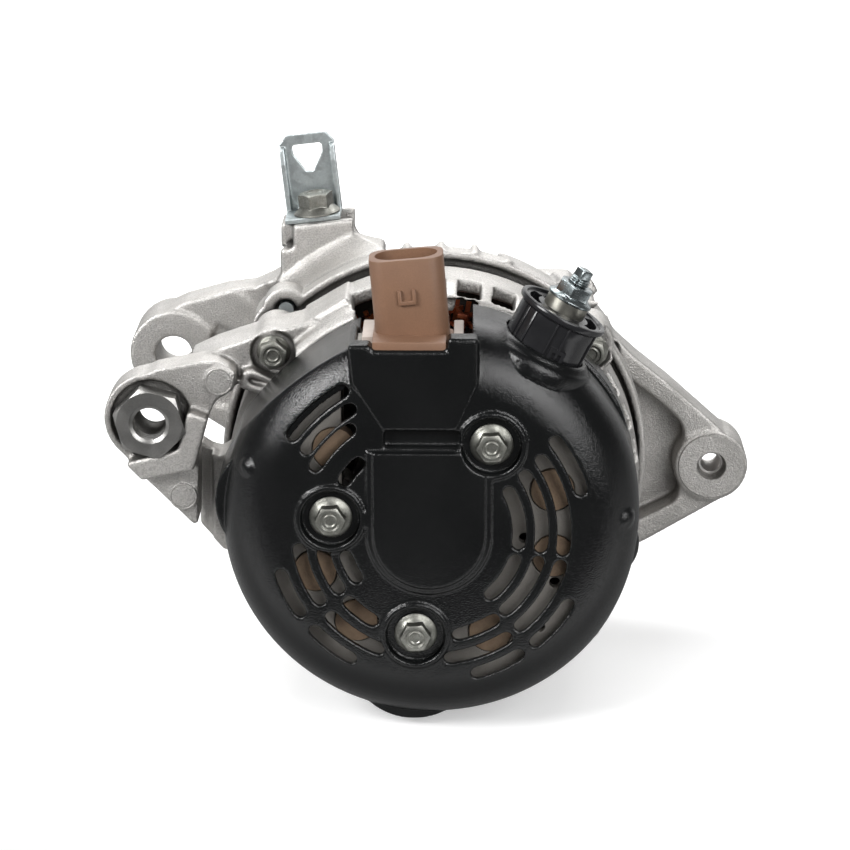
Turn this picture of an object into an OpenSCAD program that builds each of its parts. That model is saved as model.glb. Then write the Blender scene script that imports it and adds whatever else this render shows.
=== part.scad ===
// Car alternator with hairpin stator, rear slip rings and an external rear cover.
// Frame: +Y runs along the shaft from the rear cover to the pulley, +Z is up,
// and the origin is on the shaft axis at the middle of the belt.

/* [Pulley] */
// Outer diameter of the ribbed pulley
pulley_d = 56; // [50:1:62]
// Number of belt ribs
rib_count = 6; // [4:1:7]
// Distance from rib to rib
rib_pitch = 3.56; // [3.4:0.02:3.7]
// Depth of one groove
rib_depth = 2.8; // [2:0.1:3.2]

/* [Shaft and bearings] */
// Shaft diameter at the pulley and the front bearing
shaft_d = 17; // [16:0.5:18]
// Outer diameter of the front bearing
front_bearing_od = 47; // [45:0.5:49]
// Width of the front bearing
front_bearing_w = 14; // [13:0.5:15]
// Shaft diameter at the rear bearing
rear_shaft_d = 15; // [14:0.5:15.5]
// Outer diameter of the rear bearing
rear_bearing_od = 35; // [34:0.5:37]
// Width of the rear bearing
rear_bearing_w = 11; // [10:0.5:12]
// Diameter of the two slip rings
slip_ring_d = 14.4; // [14:0.1:16]
// Length of the slip ring barrel
slip_ring_len = 21; // [20:0.5:23]

/* [Rotor] */
// Diameter over the claws
rotor_d = 96; // [94:0.5:97]
// Length over the two pole pieces
rotor_len = 50; // [47:0.5:52]
// Thickness of a pole piece's disc
pole_disc_t = 12; // [11:0.5:13]
// Number of claws on one pole piece
claw_count = 8; // [6:1:8]
// Sheet thickness of the two fans
fan_t = 1.5; // [1.2:0.1:2]
// How much smaller the fans are than the rotor, on diameter
fan_inset = 2; // [1:0.5:8]

/* [Stator] */
// Air gap between the claws and the core
rotor_gap = 0.5; // [0.3:0.05:0.8]
// Iron of the core behind the slots
yoke_t = 5.5; // [4.5:0.1:6]
// Length of the laminated core
stator_len = 34; // [30:1:36]
// Number of slots
slot_count = 96; // [72:24:96]
// Depth of one slot
slot_depth = 8; // [7:0.5:8.5]
// Height of the copper end turns beyond the core
end_turn_h = 11; // [8:0.5:12]

/* [Housings] */
// Wall of the front housing outside the core
front_wall = 6.2; // [5:0.2:7]
// Wall of the rear housing outside the core
rear_wall = 2.8; // [2.4:0.2:3.2]
// Belt middle to the nose of the front housing
nose_offset = 20; // [18:0.5:24]
// Lip in front of the front bearing
bearing_lip = 3; // [2:0.5:4]
// Diameter of the through bolts
through_bolt_d = 5; // [4.5:0.5:5]

/* [Mounting ears] */
// Sideways distance from the shaft to the pivot axis, on the left
ear_x = 87; // [84:0.5:92]
// Height of the pivot axis above the shaft
ear_z = 24; // [20:0.5:28]
// Bore of the front ear
pivot_bore_d = 12.2; // [10.2:0.1:12.6]
// Outer radius of the two pivot ears
ear_r = 14.5; // [13.5:0.5:16]
// Thickness of the front ear
front_ear_t = 20; // [16:1:22]
// Thread bore of the hexagonal clamping bush
bush_bore_d = 10.2; // [8.5:0.1:10.8]
// Width across flats of the clamping bush
bush_af = 20; // [18:0.5:21]
// How far the clamping bush can slide forward
bush_travel = 1.7; // [1:0.1:2]
// Sideways distance from the shaft to the adjusting lug, on the right
lug_x = 92.4; // [88:0.2:96]
// Height of the adjusting lug below the shaft
lug_drop = 14; // [10:0.5:18]
// Outer radius of the adjusting lug
lug_r = 12.1; // [11:0.1:13]
// Thread bore of the adjusting lug
lug_bore_d = 7.4; // [6.8:0.1:8.4]

/* [Rear cover] */
// How far the cover's side stands in from the rear housing's rim
cover_inset = 1; // [0.6:0.1:1.4]
// Wall of the cover
cover_t = 2.2; // [2:0.1:2.6]
// Radius of the cover's rounded shoulder
cover_shoulder = 19; // [16:1:20]
// Depth of the cover along the shaft
cover_depth = 39; // [37:0.5:41]
// How far the two seating lobes stand out from the cover
cover_lobe = 2.2; // [1.5:0.1:3.5]
// Width of one ventilation slot
slot_w = 4; // [3:0.2:4.6]

/* [Output terminal] */
// Lean of the output terminal from upright, to the right
terminal_lean = 27.5; // [20:0.5:32]
// Diameter of the output stud
stud_d = 6; // [5:0.5:6]
// Outer diameter of the terminal's insulator
insulator_d = 28; // [26:0.5:30]
// Height of the insulator
insulator_h = 15; // [13:0.5:16]

/* [Connector] */
// Width of the regulator's plug socket
socket_w = 22; // [20:0.5:24]
// Depth of the socket along the shaft
socket_d = 15; // [13:0.5:16]
// Height of the socket
socket_h = 28; // [24:0.5:30]
// Wall of the socket
socket_wall = 1.6; // [1.4:0.1:2]

/* [Hidden] */
$fn = 72;

// Small lengths shared by many pieces
seat_gap = 0.05;      // play of a pin or bolt in its hole
air_gap = 0.4;        // least distance between parts that turn past each other
cut = 1;              // how far a cutting shape runs past the face it opens
end_step = 0.3;       // how much narrower than its slot a slot's round end is

// Radii that follow from the rotor
stator_bore = rotor_d + 2 * rotor_gap;
stator_r = stator_bore / 2 + slot_depth + yoke_t;
fan_d = rotor_d - fan_inset;
valley_r = rotor_d / 2 - 12;      // floor between the claws
core_r = valley_r - 9;            // core under the field coil
bobbin_r = valley_r + 4;
bolt_circle_r = stator_r + through_bolt_d / 2 + 1;

// Stations along the shaft, from the nose of the front housing to the rear cover
spacer_len = 5;
rear_collar_len = 10.5;
y_nose = -nose_offset;
y_fb1 = y_nose - bearing_lip;
y_fb0 = y_fb1 - front_bearing_w;
retainer_t = 2;
y_fan1 = y_fb0 - spacer_len;
y_pole1 = y_fan1 - fan_t;
y_mid = y_pole1 - rotor_len / 2;
y_pole0 = y_pole1 - rotor_len;
y_fan0 = y_pole0 - fan_t;
y_rb1 = y_fan0 - rear_collar_len;
y_rb0 = y_rb1 - rear_bearing_w;
y_slip1 = y_rb0 - 4;
y_slip0 = y_slip1 - slip_ring_len;
y_shaft0 = y_slip0 - 0.5;
y_cover_in = y_shaft0 - 1.8;
y_cover0 = y_cover_in - cover_t;
y_skirt = y_cover0 + cover_depth;

// Stator core between the two housings
y_core1 = y_mid + stator_len / 2;
y_core0 = y_mid - stator_len / 2;
y_front_split = y_core1 - 21.5;
y_rear_split = y_core0 + 8.5;

// Front housing
front_r = stator_r + front_wall;
front_shoulder_r = front_r - 9.4;
pin_at = [-47.3, 48.6];           // locating pin in the rim, above a through bolt
pin_r = 2.4;
y_front_face = y_nose - 7.5;
y_front_wall = y_front_face - 5.5;
nose_r = front_bearing_od / 2 + 4;
front_boss_r = nose_r + 2.5;
intake_r0 = front_boss_r + 1.5;
intake_r1 = front_shoulder_r - 11.8;
hub_bore_r = 14;

// Rear housing
rear_r = stator_r + rear_wall;
y_rear_wall1 = y_rb1;
y_rear_wall0 = y_rb1 - 4.5;
rear_boss_r = rear_bearing_od / 2 + 4;
rear_window_r = stator_r - 9;
cover_r = rear_r - cover_inset;
y_rear_boss = y_rb0 - 2.5;
y_bolt_seat = y_rear_wall1 + 5.5;
bolt_angles = [139, 42, -45, -135];

// Cover outline
lobe_r = 20;
cover_play = 0.4;

// Cover bolts and the rectifier stack they clamp
cover_bolt_d = 5;
cover_bolt_at = [[17.8, 27.3], [-30.2, 4.3], [-4.8, -32.8]];
y_bolt_floor = y_cover0 + 2;
pos_plate_t = 3;
neg_plate_t = 3;
y_pos0 = y_bolt_floor + 4;
y_pos1 = y_pos0 + pos_plate_t;
y_neg0 = y_pos1 + 13;
y_neg1 = y_neg0 + neg_plate_t;
diode_r = 6.4;
pos_diode_at = [18, -14, -62, -127, -158, 140];
neg_diode_at = [0, -34, -74, -112, -145, 160];
plate_r = cover_r - cover_t - 7;
diode_ring = plate_r - 16.6;
plate_bore_r = 20;

// Ears
ear_at = [-ear_x, ear_z];
lug_at = [lug_x, -lug_drop];
y_ear0 = y_rb0 + 1.5;             // rear face of the rear ear
y_ear1 = y_ear0 + 17;             // front face of the rear ear
bush_pocket = 8;
bush_hex_t = 7;
y_bush0 = y_ear0 - 1;
y_plate0 = y_ear0 + 5;            // rear face of the rear arm's plate
y_web0 = y_plate0 + 8;            // rear face of the web behind the plate
y_front_ear0 = y_nose - 18;
y_front_ear1 = y_front_ear0 + front_ear_t;

// Harness bracket on the post of the front housing
post_at = [-38.3, 72];
post_tilt = 6.5;
y_post0 = y_core1 + 0.5;
y_post1 = y_post0 + 18;
post_w = 23.6;
bracket_t = 1.6;

// Output terminal
y_terminal = y_cover0 + 20;
terminal_top = [39.4, 64.2];
insulator_body_r = insulator_d / 2 - 1.4;
collar_r = 6.5;
collar_up = 3;
terminal_nut_h = 5.4;
stud_core_d = stud_d - 0.7;         // thread drawn at its core where the nut holds it
stud_free0 = collar_up + terminal_nut_h + 0.2;
stud_free1 = stud_free0 + 1.9;      // free thread above the nut
terminal_boss_r = 8;

// Regulator and its plug socket
socket_at = [-5.4, 54];
socket_lean = 5;
y_socket = y_cover0 + 8 + socket_d / 2;
regulator_w = 23;
regulator_z0 = 35;
regulator_z1 = 53.6;

// Brush gear
brush_w = 6;
brush_t = 5;
brush_len = 14;
brush_travel = 4;
brush_gap = seat_gap;
ring_r = slip_ring_d / 2;
slip_ring_t = 1.6;
slip_flange = 1.4;
slip_one = (slip_ring_len - 3 * slip_flange) / 2;
y_ring_rear = y_slip0 + slip_flange + slip_one / 2;
y_ring_front = y_slip1 - slip_flange - slip_one / 2;
holder_top = ring_r + brush_len + 10 + 2;
spring_top = holder_top - 2;
holder_ear_t = 3;
holder_screw_d = 4;
holder_screw_x = [-16.2, 16.2];
y_holder_ear1 = y_rear_boss - 8;
y_holder_ear0 = y_holder_ear1 - holder_ear_t;

// Helpers.

// Extrudes an outline drawn in X and Z from station y0 forward to y1.
module slab(y0, y1) {
    translate([0, y1, 0]) rotate([90, 0, 0]) linear_extrude(y1 - y0) children();
}

// Turns a profile drawn as radius and station about the shaft axis.
module turned() {
    rotate([-90, 0, 0]) rotate_extrude() children();
}

// Cylinder along the shaft direction, from station y0 to y1, at a point in X and Z.
module rod(r, y0, y1, at = [0, 0]) {
    translate([at[0], y0, at[1]]) rotate([-90, 0, 0]) cylinder(r = r, h = y1 - y0);
}

// Tube between two stations.
module ring(r_out, r_in, y0, y1, at = [0, 0]) {
    difference() {
        rod(r_out, y0, y1, at);
        rod(r_in, y0 - cut, y1 + cut, at);
    }
}

module hexagon(af) circle(d = af / cos(30), $fn = 6);

function polar(r, a) = [r * cos(a), r * sin(a)];

// Wedge outline from angle a0 to a1, for cutting sectors out of rings.
module wedge(r, a0, a1) {
    mid = (a0 + a1) / 2;
    polygon([[0, 0], polar(r, a0), polar(r, (a0 + mid) / 2), polar(r, mid), polar(r, (a1 + mid) / 2),
        polar(r, a1)]);
}

// Curved slot along a circle, with round ends.
module arc_slot(r, w, a0, a1) {
    intersection() {
        difference() {
            circle(r = r + w / 2);
            circle(r = r - w / 2);
        }
        wedge(r * 1.3, a0, a1);
    }
    for (a = [a0, a1]) translate(polar(r, a)) circle(d = w - end_step, $fn = 24);
}

// Flanged hexagon bolt along +Z, with its seat at z = 0 and its shank above it.
module flange_bolt(d, af, flange_d, head_h, length) {
    flange_h = head_h * 0.28;
    cylinder(d = d, h = length, $fn = 32);
    translate([0, 0, -flange_h]) cylinder(d = flange_d, h = flange_h, $fn = 48);
    translate([0, 0, -head_h]) linear_extrude(head_h) hexagon(af);
}

// Square-cornered box between two corners.
module block(a, b) {
    translate(a) cube(b - a);
}

// Housings.

module front_shell_profile() {
    end_turn_r = stator_bore / 2 + slot_depth;
    difference() {
        polygon([[0, y_front_split], [front_r, y_front_split], [front_r, y_front_split + 7.5],
            [front_shoulder_r, y_front_wall - 5], [front_shoulder_r - 3.2, y_front_wall + 1],
            [front_shoulder_r - 8.5, y_front_face], [nose_r + 2, y_front_face], [nose_r - 1, y_nose], [0, y_nose]]);
        polygon([[0, y_front_split - cut], [stator_r + seat_gap, y_front_split - cut], [stator_r + seat_gap, y_core1],
            [stator_r - 2, y_core1], [end_turn_r + 1.2, y_core1 + end_turn_h + 1], [intake_r1 + 3, y_front_wall],
            [0, y_front_wall]]);
    }
}

// Point beside the front housing's rim, at an angle and a height above the rim.
function on_rim(angle, up) = polar(front_r + up, angle);

module front_arms() {
    // pivot ear and its arm
    slab(y_front_ear0, y_front_ear1) translate(ear_at) circle(r = ear_r);
    slab(y_front_ear0 + 1, y_front_ear1 - 5) polygon([ear_at + [-4, 13.9], ear_at + [4.3, 17.8], [-69, 45.6],
        on_rim(142, 7.7), on_rim(137.5, 5), on_rim(134.8, 4), on_rim(122, -1), [-45, 30], [-55, -14], [-69.5, -3],
        ear_at + [11, -22.8], ear_at + [1, -14.2]]);
    // rim flange that runs into the adjusting arm
    slab(y_front_split + 5, y_front_ear0 + 1.3) polygon([on_rim(72, -4), on_rim(70.6, -0.9), on_rim(62, 0.4),
        on_rim(55.2, 3.7), on_rim(49, 4.4), on_rim(43, 3.2), on_rim(38, 1.6), on_rim(30, -1), on_rim(25, -8),
        on_rim(50, -12)]);
    // adjusting lug and its arm
    slab(y_front_ear0 - 0.7, y_front_ear0 + 17) translate(lug_at) circle(r = lug_r);
    slab(y_front_ear0, y_front_ear0 + 14) polygon([on_rim(62, -11), on_rim(49, -1.5), on_rim(40, -1.5),
        on_rim(32.7, -2.4), on_rim(26.1, -1.4), [67.1, 22.9], [77.4, 14.7], lug_at + [3.4, 12.2],
        lug_at + [11.4, 2], lug_at + [4.5, -11.2], [70.5, -41], on_rim(-48.5, 1.2), [40, 0]]);
    // post that carries the harness bracket
    slab(y_post0, y_post1) polygon([[-50.2, 44], [-50.2, 63], [-46, 63.4], post_at + [-post_w / 2 + 4, -1.4],
        post_at + [-post_w / 2 + 4, -0.95], post_at + [post_w / 2, 1.35], [-26.6, 67], [-25, 64.4], [-20.5, 61.5],
        [-24, 40]]);
    slab(y_post0 + 4, y_post1) polygon([[-50.2, 60], post_at + [-post_w / 2, -1.35], post_at + [post_w / 2, 1.35],
        [-30, 60]]);
    // hollow sweep from the post down to the rim
    intersection() {
        turned() polygon([[front_r - 3, y_post0 - 12], [front_r + 0.2, y_post0 - 12], [front_r + 0.7, y_post0 - 8],
            [front_r + 1.9, y_post0 - 4.4], [front_r + 3.6, y_post0 - 1.8], [front_r + 6, y_post0 + 0.6],
            [front_r + 6, y_post0 + 3], [front_r - 3, y_post0 + 3]]);
        slab(y_post0 - 16, y_post0 + 3) polygon([on_rim(136, -12), on_rim(134.2, 10), [-40, 72], [-27, 69],
            on_rim(108.5, 3), on_rim(104, 0), on_rim(104, -12)]);
    }
    // rim boss of the locating pin, and the small ribs on the crown
    rod(7.4, y_front_split, y_front_split + 10, pin_at);
    for (a = [70:9.2:98]) rotate([0, -a, 0])
        block([front_r - 1, y_front_split + 1, -1.1], [front_r + 1, y_front_split + 11, 1.1]);
}

module front_housing() {
    color("silver") difference() {
        union() {
            turned() front_shell_profile();
            rod(front_boss_r, y_fb0, y_front_wall + cut);
            for (a = bolt_angles) rod(8.6, y_front_split, y_front_split + 15, polar(bolt_circle_r, a));
            difference() {
                front_arms();
                rod(stator_r + 1, y_front_split, y_front_wall);
            }
        }
        rod(stator_r + seat_gap, y_front_split - cut, y_core1);
        rod(front_r - 2.6, y_front_split - cut, y_front_split + 5);
        // bearing seat and hub opening
        rod(front_bearing_od / 2, y_fb0 - cut, y_fb1);
        rod(hub_bore_r, y_fb1 - cut, y_nose + cut);
        // air intakes round the bearing boss
        for (i = [0:9]) slab(y_front_wall - cut, y_front_face + cut)
            intersection() {
                difference() {
                    circle(r = intake_r1);
                    circle(r = intake_r0);
                }
                wedge(intake_r1 * 1.2, i * 36 + 4, i * 36 + 32);
            }
        // air outlets round the shoulder
        for (i = [0:23]) rotate([0, i * 15 + 7.5, 0])
            block([-4, y_front_wall - 15, front_shoulder_r - 8.8], [4, y_front_wall - 3, front_r + 12]);
        // pivot bore, lug thread, through bolt threads
        rod(pivot_bore_d / 2, y_front_ear0 - cut, y_front_ear1 + cut, ear_at);
        rod(lug_bore_d / 2, y_front_ear0 - 2, y_front_ear0 + 18, lug_at);
        for (a = bolt_angles) {
            rod(6, y_front_split - cut, y_front_split + 5, polar(bolt_circle_r, a));
            rod(through_bolt_d / 2 + seat_gap, y_front_split, y_front_split + 13, polar(bolt_circle_r, a));
        }
        for (a = [45:90:315]) rod(2.05, y_fb0 - cut, y_fb0 + 8, polar(front_bearing_od / 2 + 3.4, a));
        // pocket in the right arm
        slab(y_front_ear0 - cut, y_front_ear0 + 10) difference() {
            polygon([[54, 23.5], [60.7, 18.9], [78.3, 4.6], [81.4, 1.5], [82.6, -1.2], [82.9, -4.5], [81.5, -9],
                [81, -18], [81.9, -22.1], [81.4, -25], [79.4, -27.4], [71.2, -31.8], [60, -37.4], [50, -30]]);
            circle(r = front_shoulder_r + 1.6);
            translate(lug_at) circle(r = lug_r + 0.6);
        }
        // hole of the locating pin
        rod(pin_r + 1.3, y_front_split - cut, y_front_split + 6, pin_at);
        rod(pin_r, y_front_split, y_front_split + 14, pin_at);
        // thread of the bracket bolt
        post_frame() translate([0, 0, -14]) cylinder(d = 6 + 2 * seat_gap, h = 15, $fn = 32);
    }
}

module locating_pin() {
    color("silver") rod(pin_r, y_front_split + 1.5, y_front_split + 14, pin_at);
}

module rear_shell_profile() {
    inner = stator_r - 1.5;
    difference() {
        polygon([[0, y_rear_split], [rear_r, y_rear_split], [rear_r, y_rear_wall1 + 8],
            [rear_r - 2.4, y_rear_wall1 + 1], [rear_r - 7, y_rear_wall0], [0, y_rear_wall0]]);
        translate([0, y_core0]) square([stator_r + seat_gap, y_rear_split - y_core0 + cut]);
        polygon([[0, y_core0 + cut], [inner, y_core0 + cut], [inner, y_rear_wall1 + 7], [inner - 5, y_rear_wall1],
            [0, y_rear_wall1]]);
    }
}

module rear_arm() {
    // near plate with the ear
    slab(y_plate0, y_ear1) {
        translate(ear_at) circle(r = ear_r);
        polygon([ear_at + [-5.8, 12.4], ear_at + [2, 15.9], [-71.4, 42.5], [-66.5, 42.5], [-63, 41], [-60.6, 38.8],
            [-60.6, 35.5], [-61.5, 33.3], [-63.5, 32], [-66.7, 30.1], [-68.6, 26.3], [-70.1, 22], [-72.3, 14.9],
            [-73.1, -9.6], [-74.5, -10.6], ear_at + [-3.5, -18.2], ear_at + [-9, -11.4]]);
    }
    // straight walls beside the bush
    slab(y_ear0, y_plate0 + cut) difference() {
        translate(ear_at) polygon([[0, 0], [13, 3.5], [18.1, 1.6], [13.9, -13.4], [13, -15.1], [-3, -18.5],
            [-7.4, -13.8], [-6.6, -12.6]]);
        bush_wall_outline();
    }
    // round marks of the ejector pins
    for (p = [[-65.8, 36.2], [-77.6, -1]]) rod(4.2, y_plate0 - 0.5, y_plate0 + cut, p);
    // upper web that runs into the rim
    slab(y_web0, y_rear_split - 6) polygon([[-76, 40], [-68, 43.8], [-60, 46.6], [-52, 49.2], polar(rear_r, 125),
        polar(rear_r - 6, 120), [-44, 30], [-52, 30.5], [-60, 33], [-66, 30]]);
    slab(y_web0 + 2, y_rear_split - 2) polygon([polar(rear_r + 1.2, 128), polar(rear_r + 1.2, 114),
        polar(rear_r - 4, 112), polar(rear_r - 4, 130)]);
    // lower web, stepped down beside the plate
    slab(y_web0 + 8, y_ear1 + 12) polygon([[-74, 12], [-70, 9.3], [-67, 8.5], [-60, 12], [-58, -24], [-66.8, -24],
        [-74, -15.6]]);
    slab(y_web0 + 2, y_web0 + 9) polygon([[-69.6, 9.6], [-67, 8.5], [-60, 12], [-58, -24], [-66.2, -22.4],
        [-69.6, -18.6]]);
}

module rear_housing() {
    color("silver") difference() {
        union() {
            intersection() {
                turned() rear_shell_profile();
                union() {
                    rod(rear_r + 1, y_skirt + cover_play, y_rear_split + cut);
                    cover_trim(cover_t + cover_play, y_rear_wall0 - cut, y_skirt + cover_play + cut);
                }
            }
            rod(rear_boss_r, y_rear_boss, y_rear_wall0 + cut);
            for (a = bolt_angles) rod(7.5, y_bolt_seat, y_rear_split, polar(bolt_circle_r, a));
            for (p = cover_bolt_at) rod(6, y_neg1, y_rear_wall0 + cut, p);
            for (x = holder_screw_x) rod(3.2, y_holder_ear1, y_rear_boss + cut, [x, 0]);
            difference() {
                rear_arm();
                rod(stator_r - 1, y_rear_wall0 + 1, y_rear_split + cut);
                intersection() {
                    rod(cover_r + 2 * cover_play, y_ear0 - cut, y_skirt + cover_play);
                    cover_trim(-2 * cover_play, y_ear0 - cut, y_skirt + cover_play);
                }
            }
        }
        rod(stator_r + seat_gap, y_core0, y_rear_split + cut);
        for (a = bolt_angles) rod(7, y_bolt_seat - 12, y_bolt_seat, polar(bolt_circle_r, a));
        // bearing seat
        rod(rear_bearing_od / 2, y_rb0, y_rb1 + cut);
        rod(rear_shaft_d / 2 + 2, y_rear_boss - cut, y_rb0 + cut);
        // air windows in the rear wall, between the spokes
        for (w = [[64, 108], [122, 167], [181, 211], [225, 255], [269, 306], [320, 358], [372, 410]])
            slab(y_rear_wall0 - cut, y_rear_wall1 + cut) intersection() {
                difference() {
                    circle(r = rear_window_r);
                    circle(r = rear_boss_r + 4.5);
                }
                wedge(70, w[0], w[1]);
            }
        // air outlets round the shoulder
        for (i = [6:32]) if (i < 10 || i > 18) rotate([0, -i * 10 - 60, 0])
            block([-3.7, y_rear_wall1 + 1.6, rear_window_r - 1], [3.7, y_rear_wall1 + 13.5, rear_r + 15]);
        // bolt holes
        for (a = bolt_angles)
            rod(through_bolt_d / 2 + 0.25, y_bolt_seat - cut, y_rear_split + cut, polar(bolt_circle_r, a));
        for (p = cover_bolt_at) rod(cover_bolt_d / 2 + seat_gap, y_neg1 - cut, y_neg1 + 9, p);
        for (x = holder_screw_x)
            rod(holder_screw_d / 2 + seat_gap, y_holder_ear1 - cut, y_holder_ear1 + 7, [x, 0]);
        // pocket and bore of the clamping bush
        slab(y_ear0 - cut, y_ear0 + bush_pocket) intersection() {
            translate(ear_at) circle(r = bush_af / 2 / cos(30) + 0.9);
            translate(ear_at) rotate(15) translate([-20, -20]) square([40, 40]);
            bush_wall_outline();
        }
        rod(bush_sleeve_r() + seat_gap, y_ear0, y_ear1 + cut, ear_at);
    }
}

function bush_sleeve_r() = bush_bore_d / 2 + 3;

// Region inside the two straight walls that keep the bush from turning.
module bush_wall_outline() {
    flat = bush_af / 2 + 0.3;
    translate(ear_at) intersection() {
        rotate(-15) translate([-30, -30]) square([30 + flat, 60]);
        rotate(-75) translate([-30, -30]) square([30 + flat, 60]);
    }
}

module mount_bush() {
    color("dimgray") difference() {
        union() {
            slab(y_bush0, y_bush0 + bush_hex_t) translate(ear_at) rotate(15) hexagon(bush_af);
            rod(bush_sleeve_r(), y_bush0 + bush_hex_t - cut, y_ear1 + 2, ear_at);
        }
        rod(bush_bore_d / 2, y_bush0 - cut, y_ear1 + 3, ear_at);
    }
}

module through_bolts() {
    color("lightgray") for (a = bolt_angles) {
        p = polar(bolt_circle_r, a);
        translate([p[0], y_bolt_seat, p[1]]) rotate([-90, 0, 0])
            flange_bolt(through_bolt_d, 8, 10.6, 5.5, y_front_split + 12 - y_bolt_seat);
    }
}

// Rear cover.

// Ventilation slots as ring radius, first angle and last angle.
cover_slots = [
    [26.3, -8, 29], [33, -8, 33], [39.7, -8, 35], [46.4, 17, 38],
    [26.5, -48, -19], [33.2, -48, -16], [40, -48, -15], [47, -48, -29],
    [33.6, -76, -56], [40.6, -82, -56], [47.2, -73, -56],
    [33.4, -138, -122], [40.6, -138, -113], [47.4, -138, -121],
    [26.8, -163, -147], [33.2, -168, -147], [40, -172, -147], [47.2, -163, -147],
    [30.6, 135, 148], [40.2, 127, 149], [45.2, 122, 145], [51, 121, 144]];

// Lobes of the skirt as angle, how far they stand out, radius and depth of their rear end.
cover_lobes = [[174, cover_lobe, lobe_r, 13], [-97, cover_lobe, lobe_r, 13], [-9, -0.2, 12, 14],
    [38, 1.5, 45, 29]];
// Large cylinders that pare the cover's flanks, as direction, setback and radius left there.
cover_pares = [[122, 33, cover_r - 3.8], [-15, 12, cover_r - 1.6]];

module cover_shell(shrink) {
    r = cover_r - shrink;
    y0 = y_cover0 + shrink;
    rs = cover_shoulder - shrink;
    intersection() {
        turned() union() {
            translate([0, y0]) square([r - rs, y_skirt - y0 + shrink]);
            translate([0, y0 + rs]) square([r, y_skirt - y0 - rs + shrink]);
            intersection() {
                translate([r - rs, y0 + rs]) circle(r = rs);
                translate([r - rs, y0]) square(rs);
            }
        }
        cover_trim(shrink, y0 - cut, y_skirt + shrink + cut);
    }
    for (l = cover_lobes)
        rod(l[2] - shrink, y_cover0 + l[3] + shrink, y_skirt + shrink, polar(cover_r + l[1] - l[2], l[0]));
}

module cover_trim(shrink, y0, y1) {
    intersection_for(c = cover_pares) rod(c[1] + c[2] - shrink, y0, y1, polar(c[1], c[0] + 180));
}

// Hump over the regulator, open at the top for the plug socket.
module cover_tower(shrink, top) {
    intersection() {
        slab(y_cover0 - 3, y_skirt - 12 - shrink) polygon([[-14.5 + shrink, 20], [-14.5 + shrink, 32],
            [-25 + shrink, 57 + top], [13 - shrink, 57 + top], [9.3 - shrink, 32], [9.3 - shrink, 20]]);
        translate([-30, 0, 0]) rotate([90, 0, 90]) linear_extrude(60)
            polygon([[y_cover0 + shrink, 10], [y_cover0 + shrink, 32], [y_cover0 + 4 + shrink, 57 + top],
                [y_skirt, 57 + top], [y_skirt, 10]]);
    }
}

module brush_panel(r, up) {
    slab(y_cover0 - up, y_cover0 + cut) {
        translate([-0.7, -0.6]) circle(r = r);
        translate([-0.7 - r, -0.6]) square([2 * r, 26]);
    }
}

module rear_cover() {
    color("black") difference() {
        union() {
            cover_shell(0);
            cover_tower(0, 0);
            brush_panel(18.6, 0.9);
            brush_panel(16.6, 1.8);
            for (p = cover_bolt_at) rod(10.4, y_cover0 - 1, y_cover0 + cut, p);
        }
        difference() {
            union() {
                cover_shell(cover_t);
                cover_tower(cover_t, 2);
            }
            for (p = cover_bolt_at) rod(7.5, y_cover0, y_pos0, p);
            for (p = cover_bolt_at) rod(10.6, y_cover0, y_bolt_floor + 1.6, p);
        }
        for (p = cover_bolt_at) {
            rod(8.9, y_cover0 - 3, y_bolt_floor, p);
            rod(cover_bolt_d / 2 + 0.3, y_cover0, y_pos0 + cut, p);
        }
        slab(y_cover0 - cut, y_cover0 + cover_t + 1) difference() {
            for (s = cover_slots) arc_slot(s[0], slot_w, s[1], s[2]);
            for (p = cover_bolt_at) translate(p) circle(r = 10.4);
        }
        // opening under the hump
        block([-14.2, y_cover0 - 3, 26.6], [8.6, y_cover0 + cover_t + 1, 31.8]);
        // notch for the output terminal
        terminal_frame() translate([0, 0, -12 - insulator_h]) cylinder(r = insulator_body_r + 0.3, h = 30);
        // gap where the sockets rises between the wings
        block([-22.6, y_cover0 + 6, 50], [10.6, y_skirt - 12, 70]);
    }
}

module cover_bolts() {
    color("lightgray") for (p = cover_bolt_at) translate([p[0], y_bolt_floor, p[1]]) rotate([-90, 0, 0])
        flange_bolt(cover_bolt_d, 8, 13.1, 5, y_neg1 + 8 - y_bolt_floor);
}

// Stator.

function slot_angle(i) = i * 360 / slot_count;

// Toothed outline of the core's bore, with open slots.
module slotted_bore(r_bore, r_slot, half_w) {
    polygon([for (i = [0:slot_count - 1]) for (k = [0:3])
        let (r = (k == 0 || k == 3) ? r_bore : r_slot, side = k < 2 ? -1 : 1,
            x = sqrt(r * r - half_w * half_w))
        [x * cos(slot_angle(i)) - side * half_w * sin(slot_angle(i)),
            x * sin(slot_angle(i)) + side * half_w * cos(slot_angle(i))]]);
}

slot_half = 3.14159 * stator_bore / slot_count / 4;

module stator_core() {
    color("gray") slab(y_core0, y_core1) difference() {
        circle(r = stator_r);
        slotted_bore(stator_bore / 2, stator_bore / 2 + slot_depth, slot_half);
    }
}

module stator_winding() {
    r0 = stator_bore / 2 + 0.6;
    r1 = stator_bore / 2 + slot_depth - 0.1;
    color("chocolate") {
        for (s = [[y_core0 - end_turn_h, y_core0], [y_core1, y_core1 + end_turn_h]])
            slab(s[0], s[1]) difference() {
                circle(r = r1);
                circle(r = r0);
            }
        slab(y_core0 - 1, y_core1 + 1) difference() {
            slotted_bore(r0 + 0.3, r1 - 0.3, slot_half - 0.1);
            circle(r = r0 + 0.8);
        }
    }
}

// Bearings.

module bearing_ring(r_in, r_out, y0, y1, pitch_r, ball_r) {
    turned() difference() {
        translate([r_in, y0]) square([r_out - r_in, y1 - y0]);
        translate([pitch_r, (y0 + y1) / 2]) circle(r = ball_r + 0.05, $fn = 48);
    }
}

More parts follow.
